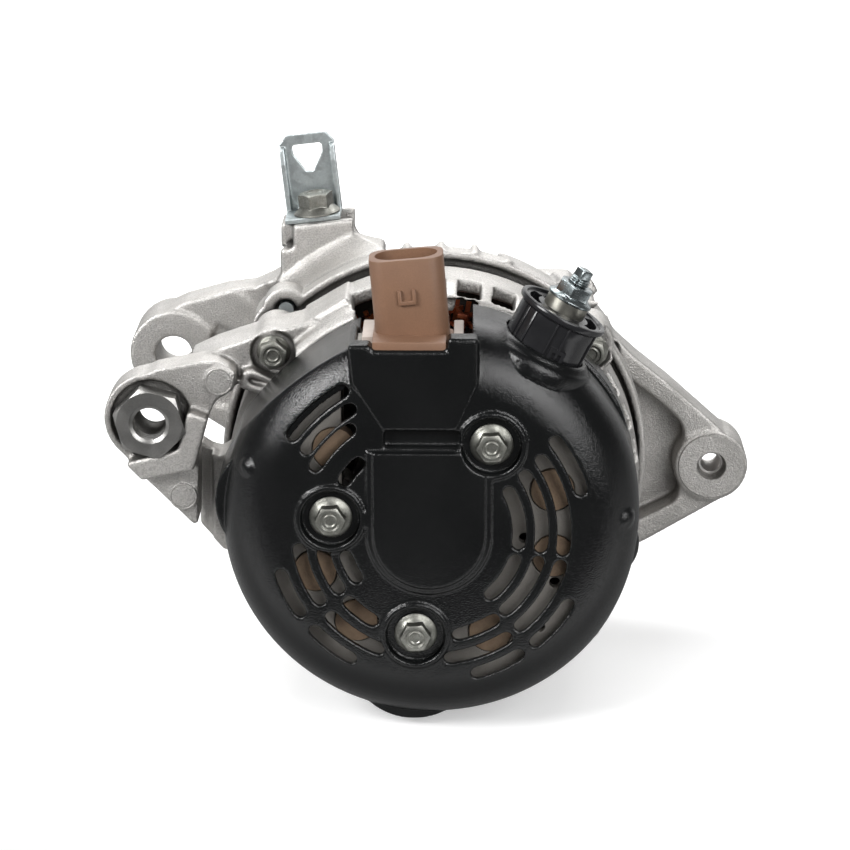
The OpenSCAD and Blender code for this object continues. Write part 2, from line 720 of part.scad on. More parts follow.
module ball_set(n, pitch_r, ball_r, y) {
    for (i = [0:n - 1]) rotate([0, i * 360 / n, 0])
        translate([0, y, pitch_r]) sphere(r = ball_r, $fn = 32);
}

module ball_cage(n, pitch_r, ball_r, y, half_w, half_t) {
    difference() {
        ring(pitch_r + half_t, pitch_r - half_t, y - half_w, y + half_w);
        for (i = [0:n - 1]) rotate([0, i * 360 / n, 0])
            translate([0, y, pitch_r]) sphere(r = ball_r + 0.1, $fn = 32);
    }
}

fb_ball_r = 4.36;
fb_pitch_r = (shaft_d + front_bearing_od) / 4;
fb_mid = (y_fb0 + y_fb1) / 2;
fb_balls = 7;
rb_ball_r = 3;
rb_pitch_r = (rear_shaft_d + rear_bearing_od) / 4;
rb_mid = (y_rb0 + y_rb1) / 2;
rb_balls = 8;

module front_bearing_outer_ring() color("gainsboro")
    bearing_ring(fb_pitch_r + 2.7, front_bearing_od / 2, y_fb0, y_fb1, fb_pitch_r, fb_ball_r);
module front_bearing_inner_ring() color("gainsboro")
    bearing_ring(shaft_d / 2, fb_pitch_r - 2.7, y_fb0, y_fb1, fb_pitch_r, fb_ball_r);
module front_bearing_balls() color("white") ball_set(fb_balls, fb_pitch_r, fb_ball_r, fb_mid);
module front_bearing_cage() color("goldenrod") ball_cage(fb_balls, fb_pitch_r, fb_ball_r, fb_mid, 5.3, 1.7);
module rear_bearing_outer_ring() color("gainsboro")
    bearing_ring(rb_pitch_r + 1.9, rear_bearing_od / 2, y_rb0, y_rb1, rb_pitch_r, rb_ball_r);
module rear_bearing_inner_ring() color("gainsboro")
    bearing_ring(rear_shaft_d / 2, rb_pitch_r - 1.9, y_rb0, y_rb1, rb_pitch_r, rb_ball_r);
module rear_bearing_balls() color("white") ball_set(rb_balls, rb_pitch_r, rb_ball_r, rb_mid);
module rear_bearing_cage() color("goldenrod") ball_cage(rb_balls, rb_pitch_r, rb_ball_r, rb_mid, 3.9, 1.2);

module bearing_retainer_plate() {
    color("lightgray") difference() {
        slab(y_fb0 - retainer_t, y_fb0) difference() {
            union() {
                circle(r = front_bearing_od / 2 + 1.6);
                for (a = [45:90:315]) translate(polar(front_bearing_od / 2 + 3.4, a)) circle(r = 3.6, $fn = 32);
            }
            circle(r = front_bearing_od / 2 - 3.2);
        }
        for (a = [45:90:315])
            rod(2.1, y_fb0 - retainer_t - cut, y_fb0 + cut, polar(front_bearing_od / 2 + 3.4, a));
    }
}

module retainer_screws() {
    color("gray") for (a = [45:90:315]) {
        p = polar(front_bearing_od / 2 + 3.4, a);
        translate([p[0], y_fb0 - retainer_t, p[1]]) rotate([-90, 0, 0]) {
            cylinder(r = 2, h = 9, $fn = 24);
            translate([0, 0, -1.6]) cylinder(r1 = 2.4, r2 = 3.4, h = 1.6, $fn = 24);
        }
    }
}

// Rectifier.

// Horseshoe plate round the brush gear, open at the top.
module plate_outline(r_out) {
    difference() {
        circle(r = r_out);
        circle(r = plate_bore_r);
        translate([-27, 0]) square([37, 70]);
        translate([0, 45]) square([70, 70]);
    }
}

// Clears the bar that carries the output stud.
module stud_bar_gap() translate([30, 45]) circle(r = 13.5);

module bolt_holes(r) for (p = cover_bolt_at) translate(p) circle(r = r);

bushing_r = 4;

module positive_heat_sink() {
    color("darkgray") difference() {
        union() {
            slab(y_pos0, y_pos1) difference() {
                plate_outline(plate_r);
                bolt_holes(bushing_r);
                for (a = pos_diode_at) translate(polar(diode_ring, a)) circle(r = diode_r);
            }
            // lug that carries the output stud
            terminal_frame() translate([0, 0, -insulator_h - 9]) cylinder(r = terminal_boss_r, h = 9);
            block([23, y_pos0, 36], [36, y_terminal + 3, 41.5]);
        }
        terminal_frame() translate([0, 0, -insulator_h - 7]) cylinder(d = stud_d, h = 8);
    }
}

module negative_heat_sink() {
    color("darkgray") slab(y_neg0, y_neg1) difference() {
        plate_outline(plate_r + 1.5);
        stud_bar_gap();
        bolt_holes(cover_bolt_d / 2 + 0.3);
        for (a = neg_diode_at) translate(polar(diode_ring + 8, a)) circle(r = diode_r);
    }
}

module positive_diodes() {
    color("tan") for (a = pos_diode_at) {
        p = polar(diode_ring, a);
        rod(diode_r, y_pos0 - 0.5, y_pos1 + 2, p);
        rod(0.7, y_pos1 + 1, y_pos1 + 5, p);
    }
}

module negative_diodes() {
    color("tan") for (a = neg_diode_at) {
        p = polar(diode_ring + 8, a);
        rod(diode_r, y_neg0 - 2, y_neg1 + 0.5, p);
        rod(0.7, y_neg0 - 5, y_neg0 - 1, p);
    }
}

module rectifier_frame() {
    color("dimgray") {
        slab(y_pos1 + 5, y_pos1 + 8) difference() {
            plate_outline(plate_r - 2);
            stud_bar_gap();
            bolt_holes(bushing_r);
        }
        for (p = cover_bolt_at) ring(bushing_r + 2.5, bushing_r, y_pos1, y_neg0, p);
    }
}

module rectifier_bushings() {
    color("beige") for (p = cover_bolt_at) ring(bushing_r, cover_bolt_d / 2 + seat_gap, y_pos0, y_neg0, p);
}

// Brush gear and regulator.

module brush_holder() {
    y0 = y_cover_in + 0.4;
    y1 = y_slip1 + 0.8;
    color("#3b2a20") difference() {
        union() {
            slab(y0, y1) circle(r = ring_r + 5.6);
            slab(y0 + 1.6, y1) translate([-9, 0]) square([18, holder_top]);
            slab(y_holder_ear0, y_holder_ear1) {
                translate([holder_screw_x[0], -3.6]) square([holder_screw_x[1] - holder_screw_x[0], 7.2]);
                for (x = holder_screw_x) translate([x, 0]) circle(r = 3.6, $fn = 32);
            }
        }
        for (x = holder_screw_x)
            rod(holder_screw_d / 2 + seat_gap, y_holder_ear0 - cut, y_holder_ear1 + cut, [x, 0]);
        rod(ring_r + 0.9, y_shaft0 - 0.8, y1 + cut);
        for (y = [y_ring_rear, y_ring_front])
            block([-brush_t / 2 - seat_gap, y - brush_w / 2 - seat_gap, ring_r - 2],
                [brush_t / 2 + seat_gap, y + brush_w / 2 + seat_gap, spring_top]);
    }
}

module brush_holder_screws() {
    color("gray") for (x = holder_screw_x) translate([x, y_holder_ear0, 0]) rotate([-90, 0, 0]) {
        cylinder(d = holder_screw_d, h = holder_ear_t + 6, $fn = 32);
        translate([0, 0, -2.2]) cylinder(d = 6.6, h = 2.2, $fn = 32);
    }
}

module brush(y) {
    difference() {
        block([-brush_t / 2, y - brush_w / 2, ring_r - 2], [brush_t / 2, y + brush_w / 2, ring_r + brush_len]);
        rod(ring_r + brush_gap, y - brush_w, y + brush_w);
    }
}

module rear_brush() color("#303030") brush(y_ring_rear);
module front_brush() color("#303030") brush(y_ring_front);

// Helical compression spring along +Z from the origin.
module coil_spring(r, wire, height, turns) {
    per = 14;
    n = turns * per;
    sides = 6;
    pts = [for (i = [0:n]) let (a = i * 360 / per, z = wire / 2 + (height - wire) * i / n)
        for (k = [0:sides - 1]) let (b = k * 360 / sides, q = r + wire / 2 * cos(b))
            [q * cos(a), q * sin(a), z + wire / 2 * sin(b)]];
    faces = concat([[for (k = [0:sides - 1]) k]],
        [for (i = [0:n - 1]) for (k = [0:sides - 1]) let (j = (k + 1) % sides)
            each [[i * sides + k, (i + 1) * sides + k, (i + 1) * sides + j],
                [i * sides + k, (i + 1) * sides + j, i * sides + j]]],
        [[for (k = [0:sides - 1]) n * sides + sides - 1 - k]]);
    polyhedron(pts, faces, convexity = 8);
}

module brush_spring(y) {
    color("silver") translate([0, y, ring_r + brush_len])
        coil_spring(1.7, 0.5, spring_top - ring_r - brush_len, 7);
}

module rear_brush_spring() brush_spring(y_ring_rear);

module front_brush_spring() brush_spring(y_ring_front);

module socket_frame() {
    translate([socket_at[0], y_socket, socket_at[1]]) rotate([0, -socket_lean, 0]) children();
}

module regulator_body() {
    color("#2c2624") {
        block([-17, y_cover0 + 6, regulator_z0], [-17 + regulator_w, y_cover0 + 22, regulator_z1 - 2.5]);
        block([-9, y_cover0 + 8, holder_top], [9, y_cover0 + 20, regulator_z0]);
    }
}

module regulator_heat_sink() {
    color("silver") {
        block([-22.4, y_cover0 + 22, 44], [9.4, y_cover0 + 25, regulator_z1 - 3]);
        block([-17, y_cover0 + 22, 37], [-17 + regulator_w, y_cover0 + 24.5, 45]);
        // ears that show beside the socket
        for (x = [[-22.4, -18], [7.4, 9.4]])
            block([x[0], y_cover0 + 8, regulator_z1 - 8], [x[1], y_cover0 + 24, regulator_z1 + 1.6]);
    }
}

module rounded_box_outline(w, d, r) {
    translate([-w / 2 + r, -d / 2]) square([w - 2 * r, d]);
    translate([-w / 2, -d / 2 + r]) square([w, d - 2 * r]);
    for (x = [-1, 1], y = [-1, 1]) translate([x * (w / 2 - r), y * (d / 2 - r)]) circle(r = r, $fn = 32);
}

module plug_socket() {
    color("rosybrown") difference() {
        union() {
            socket_frame() {
                linear_extrude(socket_h) rounded_box_outline(socket_w, socket_d, 3);
                translate([0, 0, -1]) linear_extrude(3) rounded_box_outline(socket_w + 2, socket_d + 1.4, 2);
                // catch on the rear face
                translate([0.5, -socket_d / 2 - 1, 13.5]) difference() {
                    translate([-3, 0, -3]) cube([6, 1.2, 6]);
                    translate([-1.8, -0.5, -1.4]) cube([3.6, 1.2, 5]);
                }
            }
            block([socket_at[0] - 11, y_cover0 + 8, regulator_z1 - 2.5],
                [socket_at[0] + 11, y_cover0 + 22, socket_at[1] + 0.6]);
        }
        socket_frame() translate([0, 0, 4]) linear_extrude(socket_h)
            rounded_box_outline(socket_w - 2 * socket_wall, socket_d - 2 * socket_wall, 1.8);
    }
}

module socket_pins() {
    color("silver") socket_frame() for (x = [-6, -2, 2, 6]) translate([x - 0.4, -0.9, 4]) cube([0.8, 1.8, 12]);
}

// Output terminal.

module terminal_frame() {
    translate([terminal_top[0], y_terminal, terminal_top[1]]) rotate([0, terminal_lean, 0]) children();
}

module terminal_insulator() {
    r = insulator_d / 2;
    color("#151515") terminal_frame() difference() {
        union() {
            translate([0, 0, -insulator_h]) cylinder(r = insulator_body_r, h = insulator_h);
            translate([0, 0, -2]) cylinder(r = r, h = 2);
            for (a = [200:16:340]) rotate([0, 0, a])
                translate([insulator_body_r - 1, -0.6, -insulator_h + 4]) cube([1.7, 1.2, insulator_h - 5]);
        }
        translate([0, 0, -insulator_h - cut]) cylinder(r = collar_r + seat_gap, h = insulator_h + 2);
        // moulding pockets in the top face
        translate([0, 0, -6]) linear_extrude(7) {
            arc_slot(r - 4.6, 2.6, 150, 215);
            arc_slot(r - 4.6, 2.6, -30, 35);
        }
    }
}

module terminal_collar() {
    color("silver") terminal_frame() translate([0, 0, -insulator_h]) difference() {
        cylinder(r = collar_r, h = insulator_h + collar_up);
        translate([0, 0, -cut]) cylinder(d = stud_d + 2 * seat_gap, h = insulator_h + 10, $fn = 32);
    }
}

module terminal_stud() {
    root = -insulator_h - 7;
    color("silver") terminal_frame() {
        translate([0, 0, root]) cylinder(d = stud_d, h = 7);
        translate([0, 0, root + 1]) cylinder(d = stud_core_d, h = stud_free0 - root);
        translate([0, 0, stud_free0]) cylinder(d = stud_d, h = stud_free1 - stud_free0);
        translate([0, 0, stud_free1 - 1]) linear_extrude(4) square(stud_d * 0.66, center = true);
    }
}

module terminal_nut() {
    color("lightsteelblue") terminal_frame() translate([0, 0, collar_up]) difference() {
        union() {
            cylinder(d = 14, h = 1.4);
            linear_extrude(terminal_nut_h) hexagon(10);
        }
        translate([0, 0, -cut]) cylinder(d = stud_core_d + 2 * seat_gap, h = 9, $fn = 48);
    }
}

// Harness bracket.

module post_frame() {
    translate([post_at[0], (y_post0 + y_post1) / 2 - 0.8, post_at[1]]) rotate([0, -post_tilt, 0]) children();
}

bracket_w = 18;
bracket_h = 26.2;
bracket_back = 6.4;
bracket_front = 9.8;
bracket_shift = -1.3;             // the bracket sits left of its bolt

module harness_bracket() {
    w = bracket_w / 2;
    color("lightsteelblue") post_frame() difference() {
        translate([bracket_shift, 0, 0]) union() {
            // foot under the bolt
            translate([-w, -bracket_back, 0]) cube([bracket_w, bracket_back + bracket_front, bracket_t]);
            // upright sheet with chamfered corners
            translate([0, bracket_front, 0]) rotate([90, 0, 0]) linear_extrude(bracket_t)
                polygon([[-w, 0], [w, 0], [w, bracket_h - 3], [w - 2.5, bracket_h], [-w + 2.5, bracket_h],
                    [-w, bracket_h - 3]]);
            // side flanges
            for (x = [-w, w - bracket_t]) translate([x, 0, 0]) rotate([90, 0, 90]) linear_extrude(bracket_t)
                polygon([[bracket_front - 4.6, 0], [bracket_front - bracket_t / 2, 0],
                    [bracket_front - bracket_t / 2, bracket_h - 3.4], [bracket_front - 3.6, bracket_h - 4.4],
                    [bracket_front - 4.4, bracket_h - 9]]);
        }
        // clip hole, a triangle that points down
        translate([bracket_shift, bracket_front + cut, 0]) rotate([90, 0, 0]) linear_extrude(bracket_t + 2 * cut)
            polygon([[-4.2, bracket_h - 3.4], [4.2, bracket_h - 3.4], [4.9, bracket_h - 4.1], [4.8, bracket_h - 6.4],
                [1.5, bracket_h - 12], [0.9, bracket_h - 12.5], [-0.9, bracket_h - 12.5], [-1.5, bracket_h - 12],
                [-4.8, bracket_h - 6.4], [-4.9, bracket_h - 4.1]]);
        translate([0, 0, -cut]) cylinder(d = 6.6, h = 5, $fn = 32);
    }
}

module bracket_bolt() {
    color("silver") post_frame() translate([0, 0, bracket_t]) rotate([180, 0, 0])
        flange_bolt(6, 10, 15.2, 6.8, bracket_t + 12);
}

// Rotor.

module rotor_shaft() {
    color("gainsboro") turned() polygon([[0, y_shaft0], [4.5, y_shaft0], [4.5, y_rb0], [rear_shaft_d / 2, y_rb0],
        [rear_shaft_d / 2, y_rb1], [rear_shaft_d / 2 + 2, y_rb1], [rear_shaft_d / 2 + 2, y_fan0],
        [shaft_d / 2, y_fan0], [shaft_d / 2, 2], [7.6, 2.5], [7.6, 15], [6.8, 16], [0, 16]]);
}

claw_step = 0.5;      // step between the face of a pole disc and the roots of its claws

// One claw seen from outside, from its root at v = 0 to its tip, extruded outward.
module claw_blank(angle, dir, y_root) {
    tip = rotor_len - 1.6;
    rotate([0, angle, 0]) translate([0, y_root, valley_r - 6]) linear_extrude(rotor_d / 2)
        polygon([[-8, 0], [8, 0], [8, dir * pole_disc_t], [4, dir * tip], [-4, dir * tip],
            [-8, dir * pole_disc_t]]);
}

module pole(y_root, dir, phase) {
    union() {
        turned() polygon([[shaft_d / 2, y_root], [valley_r, y_root], [valley_r, y_root + dir * pole_disc_t],
            [core_r, y_root + dir * pole_disc_t], [core_r, y_mid], [shaft_d / 2, y_mid]]);
        intersection() {
            for (i = [0:claw_count - 1]) claw_blank(i * 360 / claw_count + phase, dir, y_root);
            turned() polygon([[valley_r - 4, y_root + dir * claw_step],
                [rotor_d / 2 - 2, y_root + dir * claw_step], [rotor_d / 2, y_root + dir * 2.5],
                [rotor_d / 2, y_root + dir * (rotor_len - 1.6)],
                [rotor_d / 2 - 3.2, y_root + dir * (rotor_len - 1.6)],
                [rotor_d / 2 - 7, y_root + dir * (pole_disc_t + claw_step)],
                [valley_r - 4, y_root + dir * (pole_disc_t - claw_step)]]);
        }
    }
}

module front_pole() color("#5a5a5c") pole(y_pole1, -1, 0);
module rear_pole() color("#5a5a5c") pole(y_pole0, 1, 180 / claw_count);

coil_len = rotor_len - 2 * (pole_disc_t + claw_step);

module coil_bobbin() {
    y0 = y_mid - coil_len / 2;
    y1 = y0 + coil_len;
    color("ivory") turned() polygon([[core_r, y0], [bobbin_r, y0], [bobbin_r, y0 + 1.2], [core_r + 1.2, y0 + 1.2],
        [core_r + 1.2, y1 - 1.2], [bobbin_r, y1 - 1.2], [bobbin_r, y1], [core_r, y1]]);
}

module field_coil() {
    half = coil_len / 2 - 1.2;
    color("chocolate") ring(bobbin_r - 0.6, core_r + 1.2, y_mid - half, y_mid + half);
}

blade_step = 0.4;     // how far inside the fan's disc a blade starts

// Pressed fan: a disc with curved blades standing away from the rotor.
module fan(y_disc, dir, blades, height) {
    y0 = dir > 0 ? y_disc : y_disc - fan_t;
    blade0 = dir > 0 ? y0 + blade_step : y0 - height;
    blade1 = dir > 0 ? y0 + fan_t + height : y0 + fan_t - blade_step;
    slab(y0, y0 + fan_t) difference() {
        circle(r = fan_d / 2 - 6);
        circle(r = shaft_d / 2);
    }
    for (i = [0:blades - 1]) rotate([0, i * 360 / blades, 0]) slab(blade0, blade1) intersection() {
        arc_band([24, 30], 26, 1.2);
        difference() {
            circle(r = fan_d / 2);
            circle(r = 31);
        }
    }
}

// Narrow ring used as one curved blade, centred at c.
module arc_band(c, r, w) {
    intersection() {
        translate(c) difference() {
            circle(r = r + w / 2);
            circle(r = r - w / 2);
        }
        translate([28, -12]) square([30, 26]);
    }
}

module front_fan() color("#8a8d90") fan(y_pole1, 1, 11, 6.5);
module rear_fan() color("#8a8d90") fan(y_pole0, -1, 13, 8);

module rotor_spacer() color("gainsboro") ring(12.5, shaft_d / 2, y_fan1, y_fb0);

module slip_ring_core() {
    flange_top = ring_r - 0.4;
    color("#4a2f22") turned() difference() {
        translate([4.5, y_slip0]) square([flange_top - 4.5, slip_ring_len]);
        for (y = [y_ring_rear, y_ring_front])
            translate([ring_r - slip_ring_t, y - slip_one / 2]) square([slip_ring_t, slip_one]);
    }
}

module slip_rings() {
    color("peru") {
        for (y = [y_ring_rear, y_ring_front]) ring(ring_r, ring_r - slip_ring_t, y - slip_one / 2, y + slip_one / 2);
    }
}

module pulley() {
    w = (rib_count + 1) * rib_pitch + 2.6;
    r = pulley_d / 2;
    color("#707478") turned() difference() {
        union() {
            translate([shaft_d / 2, -9]) square([r - shaft_d / 2 - 4, 10]);
            translate([shaft_d / 2, y_fb1]) square([4.4, -y_fb1]);
            translate([r - 5.5, -w / 2]) square([5.5, w]);
        }
        for (i = [0:rib_count - 1]) translate([r, (i - (rib_count - 1) / 2) * rib_pitch])
            polygon([[1, -rib_pitch * 0.55], [1, rib_pitch * 0.55], [-rib_depth, 0.35], [-rib_depth, -0.35]]);
    }
}

module pulley_nut() {
    color("#8a8d90") difference() {
        union() {
            rod(14.5, 1, 3);
            slab(1, 13) hexagon(24);
        }
        rod(shaft_d / 2, 1 - cut, 2);
        rod(7.6 + seat_gap, 0, 14);
        rod(shaft_d / 2 + seat_gap, 0, 2.6);
    }
}

front_housing();
locating_pin();
rear_housing();
rear_cover();
cover_bolts();
through_bolts();
stator_core();
stator_winding();
front_bearing_outer_ring();
bearing_retainer_plate();
retainer_screws();
rear_bearing_outer_ring();
positive_heat_sink();
negative_heat_sink();
positive_diodes();
negative_diodes();
rectifier_frame();
rectifier_bushings();
brush_holder();
brush_holder_screws();
rear_brush_spring();
front_brush_spring();
regulator_body();
regulator_heat_sink();
plug_socket();
socket_pins();
terminal_insulator();
terminal_collar();
terminal_stud();
terminal_nut();
harness_bracket();
bracket_bolt();
rotor_shaft();
front_pole();
rear_pole();
field_coil();
coil_bobbin();
front_fan();
rear_fan();
slip_rings();
slip_ring_core();
rotor_spacer();
front_bearing_inner_ring();
rear_bearing_inner_ring();
pulley();
pulley_nut();
front_bearing_balls();
front_bearing_cage();
rear_bearing_balls();
rear_bearing_cage();
rear_brush();
front_brush();
mount_bush();
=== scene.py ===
import math
import bpy
from mathutils import Matrix, Vector


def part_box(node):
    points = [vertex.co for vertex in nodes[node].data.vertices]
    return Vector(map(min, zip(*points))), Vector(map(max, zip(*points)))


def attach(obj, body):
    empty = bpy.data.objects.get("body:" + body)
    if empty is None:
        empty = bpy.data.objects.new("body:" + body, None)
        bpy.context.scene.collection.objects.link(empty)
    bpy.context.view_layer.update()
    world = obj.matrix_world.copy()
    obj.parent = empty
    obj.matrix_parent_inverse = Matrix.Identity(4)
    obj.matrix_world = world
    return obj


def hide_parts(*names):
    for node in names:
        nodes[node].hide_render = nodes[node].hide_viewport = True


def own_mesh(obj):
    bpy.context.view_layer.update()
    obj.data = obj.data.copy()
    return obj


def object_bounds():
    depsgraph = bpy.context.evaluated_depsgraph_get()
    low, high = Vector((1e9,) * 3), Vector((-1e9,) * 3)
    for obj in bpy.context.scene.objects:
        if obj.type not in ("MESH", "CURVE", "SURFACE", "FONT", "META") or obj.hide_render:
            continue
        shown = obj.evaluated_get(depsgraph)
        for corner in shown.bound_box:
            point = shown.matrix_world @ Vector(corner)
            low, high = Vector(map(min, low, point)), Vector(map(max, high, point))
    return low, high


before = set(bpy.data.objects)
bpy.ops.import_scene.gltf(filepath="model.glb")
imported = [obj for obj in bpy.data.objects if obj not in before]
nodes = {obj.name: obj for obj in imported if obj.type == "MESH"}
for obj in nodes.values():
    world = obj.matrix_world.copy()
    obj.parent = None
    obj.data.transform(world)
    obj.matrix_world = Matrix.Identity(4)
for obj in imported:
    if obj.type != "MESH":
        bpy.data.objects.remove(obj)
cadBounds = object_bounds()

mm = 0.001
weldGap = 0.0000005     # drawn points closer than this, in metres, become one
cadWeldGap = 0.000002   # the same for the points of a CAD node
print("frame loaded:", len(nodes), "nodes")


def clearSelection():
    active = bpy.context.view_layer.objects.active
    if active is not None and active.mode != "OBJECT":
        bpy.ops.object.mode_set(mode="OBJECT")
    bpy.ops.object.select_all(action="DESELECT")


def pick(piece):
    clearSelection()
    piece.select_set(True)
    bpy.context.view_layer.objects.active = piece


def modify(piece, kind, **settings):
    # adds a modifier and applies it at once
    pick(piece)
    bpy.ops.object.modifier_add(type=kind)
    modifier = piece.modifiers[-1]
    for key, value in settings.items():
        setattr(modifier, key, value)
    bpy.ops.object.modifier_apply(modifier=modifier.name)


def leaveEdit():
    bpy.ops.object.mode_set(mode="OBJECT")


def place(piece, frameMatrix):
    # bakes a piece that was modelled at the origin along +Z into its place
    piece.matrix_world = frameMatrix
    pick(piece)
    bpy.ops.object.transform_apply(location=True, rotation=True, scale=True)
    return piece


def shaftFrame(x, y, z, spin=0.0, rearward=True):
    # a place in millimetres whose +Z runs along the shaft, to the rear or to the front
    turn = Matrix.Rotation(math.radians(90 if rearward else -90), 4, "X")
    return Matrix.Translation(Vector((x, y, z)) * mm) @ turn @ Matrix.Rotation(math.radians(spin), 4, "Z")


def leanFrame(x, y, z, lean, spin=0.0):
    # a place in millimetres whose +Z leans from upright to the right
    turn = Matrix.Rotation(math.radians(lean), 4, "Y")
    return Matrix.Translation(Vector((x, y, z)) * mm) @ turn @ Matrix.Rotation(math.radians(spin), 4, "Z")


def drawProfile(name, points, closed=True):
    # draws an outline in X and Z, in millimetres, and leaves it selected in edit mode
    clearSelection()
    bpy.ops.mesh.primitive_plane_add(size=mm, location=(0, 0, 0))
    piece = bpy.context.object
    piece.name = name
    bpy.ops.object.mode_set(mode="EDIT")
    bpy.ops.mesh.select_mode(type="VERT")
    bpy.ops.mesh.merge(type="CENTER")
    bpy.ops.transform.translate(value=(points[0][0] * mm, 0, points[0][1] * mm))
    course = list(points) + ([points[0]] if closed else [])
    for (x0, z0), (x1, z1) in zip(course, course[1:]):
        step = ((x1 - x0) * mm, 0, (z1 - z0) * mm)
        bpy.ops.mesh.extrude_region_move(TRANSFORM_OT_translate={"value": step})
    bpy.ops.mesh.select_all(action="SELECT")
    bpy.ops.mesh.remove_doubles(threshold=weldGap)
    return piece


def editAll(piece):
    pick(piece)
    bpy.ops.object.mode_set(mode="EDIT")
    bpy.ops.mesh.select_all(action="SELECT")


def closeShell():
    bpy.ops.mesh.select_all(action="SELECT")
    bpy.ops.mesh.remove_doubles(threshold=weldGap)
    bpy.ops.mesh.normals_make_consistent(inside=False)
    leaveEdit()


def spunPiece(name, points, steps=64, closed=True):
    # turns an outline of radius and height about the Z axis
    piece = drawProfile(name, points, closed)
    bpy.ops.mesh.spin(steps=steps, angle=2 * math.pi, center=(0, 0, 0), axis=(0, 0, 1))
    closeShell()
    return piece


def platePiece(name, outline, rear, front):
    # an outline in X and Z that reaches along the shaft from its rear to its front, in millimetres
    piece = drawProfile(name, outline)
    bpy.ops.mesh.edge_face_add()
    bpy.ops.mesh.extrude_region_move(TRANSFORM_OT_translate={"value": (0, (front - rear) * mm, 0)})
    closeShell()
    return place(piece, Matrix.Translation((0, rear * mm, 0)))


def sectorPiece(name, outline, start, end):
    # an outline of radius and distance along the shaft, swept round it between two angles
    piece = drawProfile(name, [(radius, -y) for radius, y in outline])
    bpy.ops.mesh.edge_face_add()
    bpy.ops.mesh.spin(steps=24, angle=math.radians(end - start), center=(0, 0, 0), axis=(0, 0, 1))
    closeShell()
    middle = sum((vertex.co for vertex in piece.data.vertices), Vector())
    turn = (start + end) / 2 - math.degrees(math.atan2(middle.y, middle.x))
    return place(piece, shaftFrame(0, 0, 0, turn))


def takeNew(name):
    # names the primitive just added and applies its place and size
    piece = bpy.context.object
    piece.name = name
    bpy.ops.object.transform_apply(location=True, rotation=True, scale=True)
    return piece


def boxPiece(name, low, high):
    clearSelection()
    size = [(b - a) * mm for a, b in zip(low, high)]
    middle = [(a + b) / 2 * mm for a, b in zip(low, high)]
    bpy.ops.mesh.primitive_cube_add(size=1, location=middle, scale=size)
    return takeNew(name)


def combine(piece, other, operation):
    modify(piece, "BOOLEAN", operation=operation, object=other, solver="EXACT")
    bpy.data.objects.remove(other, do_unlink=True)
    return piece


def roundEdges(piece, width, segments=3, degrees=30):
    modify(piece, "BEVEL", width=width * mm, segments=segments, limit_method="ANGLE",
           angle_limit=math.radians(degrees), use_clamp_overlap=True)
    return piece


def hexPrism(name, flats, low, high):
    clearSelection()
    bpy.ops.mesh.primitive_cylinder_add(vertices=6, radius=flats / 2 / math.cos(math.pi / 6) * mm,
                                        depth=(high - low) * mm, location=(0, 0, (low + high) / 2 * mm),
                                        rotation=(0, 0, math.pi / 6))
    return roundEdges(takeNew(name), 0.22, 2, 45)


def duplicate(piece, name):
    twin = bpy.data.objects.new(name, piece.data.copy())
    bpy.context.collection.objects.link(twin)
    return twin


def joinPieces(pieces, name):
    clearSelection()
    for piece in pieces:
        piece.select_set(True)
    bpy.context.view_layer.objects.active = pieces[0]
    if len(pieces) > 1:
        bpy.ops.object.join()
    pieces[0].name = name
    return pieces[0]


def copyNode(node, name):
    # a merged copy of a CAD node, to be reshaped
    piece = bpy.data.objects.new(name, nodes[node].data.copy())
    bpy.context.collection.objects.link(piece)
    editAll(piece)
    bpy.ops.mesh.remove_doubles(threshold=cadWeldGap)
    leaveEdit()
    bpy.ops.mesh.customdata_custom_splitnormals_clear()
    return piece


def smoothEdges(piece, degrees=35):
    pick(piece)
    bpy.ops.object.shade_smooth_by_angle(angle=math.radians(degrees))


def finishPiece(piece, body, material, replaced=()):
    piece.data.materials.clear()
    piece.data.materials.append(materials[material])
    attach(piece, body)
    if replaced:
        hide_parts(*replaced)


def newGroup(name, inputs, outputs):
    group = bpy.data.node_groups.new(name, "ShaderNodeTree")
    for label, value in inputs.items():
        socket = group.interface.new_socket(name=label, in_out="INPUT", socket_type="NodeSocketFloat")
        socket.default_value = value
    for label in outputs:
        group.interface.new_socket(name=label, in_out="OUTPUT", socket_type="NodeSocketFloat")
    start, end = group.nodes.new("NodeGroupInput"), group.nodes.new("NodeGroupOutput")
    start.location, end.location = (-900, 0), (500, 0)
    return group, start.outputs, end.inputs


def addNode(tree, kind, place=(0, 0), settings=None, **values):
    node = tree.nodes.new(kind)
    node.location = place
    for key, value in (settings or {}).items():
        setattr(node, key, value)
    for key, value in values.items():
        node.inputs[key].default_value = value
    return node


def feed(tree, value, socket):
    # value is a number, or the output of another node
    if isinstance(value, (int, float)):
        socket.default_value = value
    else:
        tree.links.new(value, socket)


def mathNode(tree, operation, first, second, place=(0, 0)):
    node = addNode(tree, "ShaderNodeMath", place, {"operation": operation})
    feed(tree, first, node.inputs[0])
    feed(tree, second, node.inputs[1])
    return node.outputs[0]


def spreadNode(tree, value, low, high, place=(0, 0)):
    # maps low..high to 0..1 and clamps
    node = addNode(tree, "ShaderNodeMapRange", place, {"clamp": True})
    node.inputs["From Min"].default_value = low
    node.inputs["From Max"].default_value = high
    tree.links.new(value, node.inputs["Value"])
    return node.outputs[0]


def noiseNode(tree, vector, scale, detail, place=(0, 0)):
    node = addNode(tree, "ShaderNodeTexNoise", place, {"noise_dimensions": "3D"})
    tree.links.new(vector, node.inputs["Vector"])
    feed(tree, scale, node.inputs["Scale"])
    feed(tree, detail, node.inputs["Detail"])
    return node.outputs[0]


def objectCoords(tree, place=(-700, 300)):
    return addNode(tree, "ShaderNodeTexCoord", place).outputs["Object"]


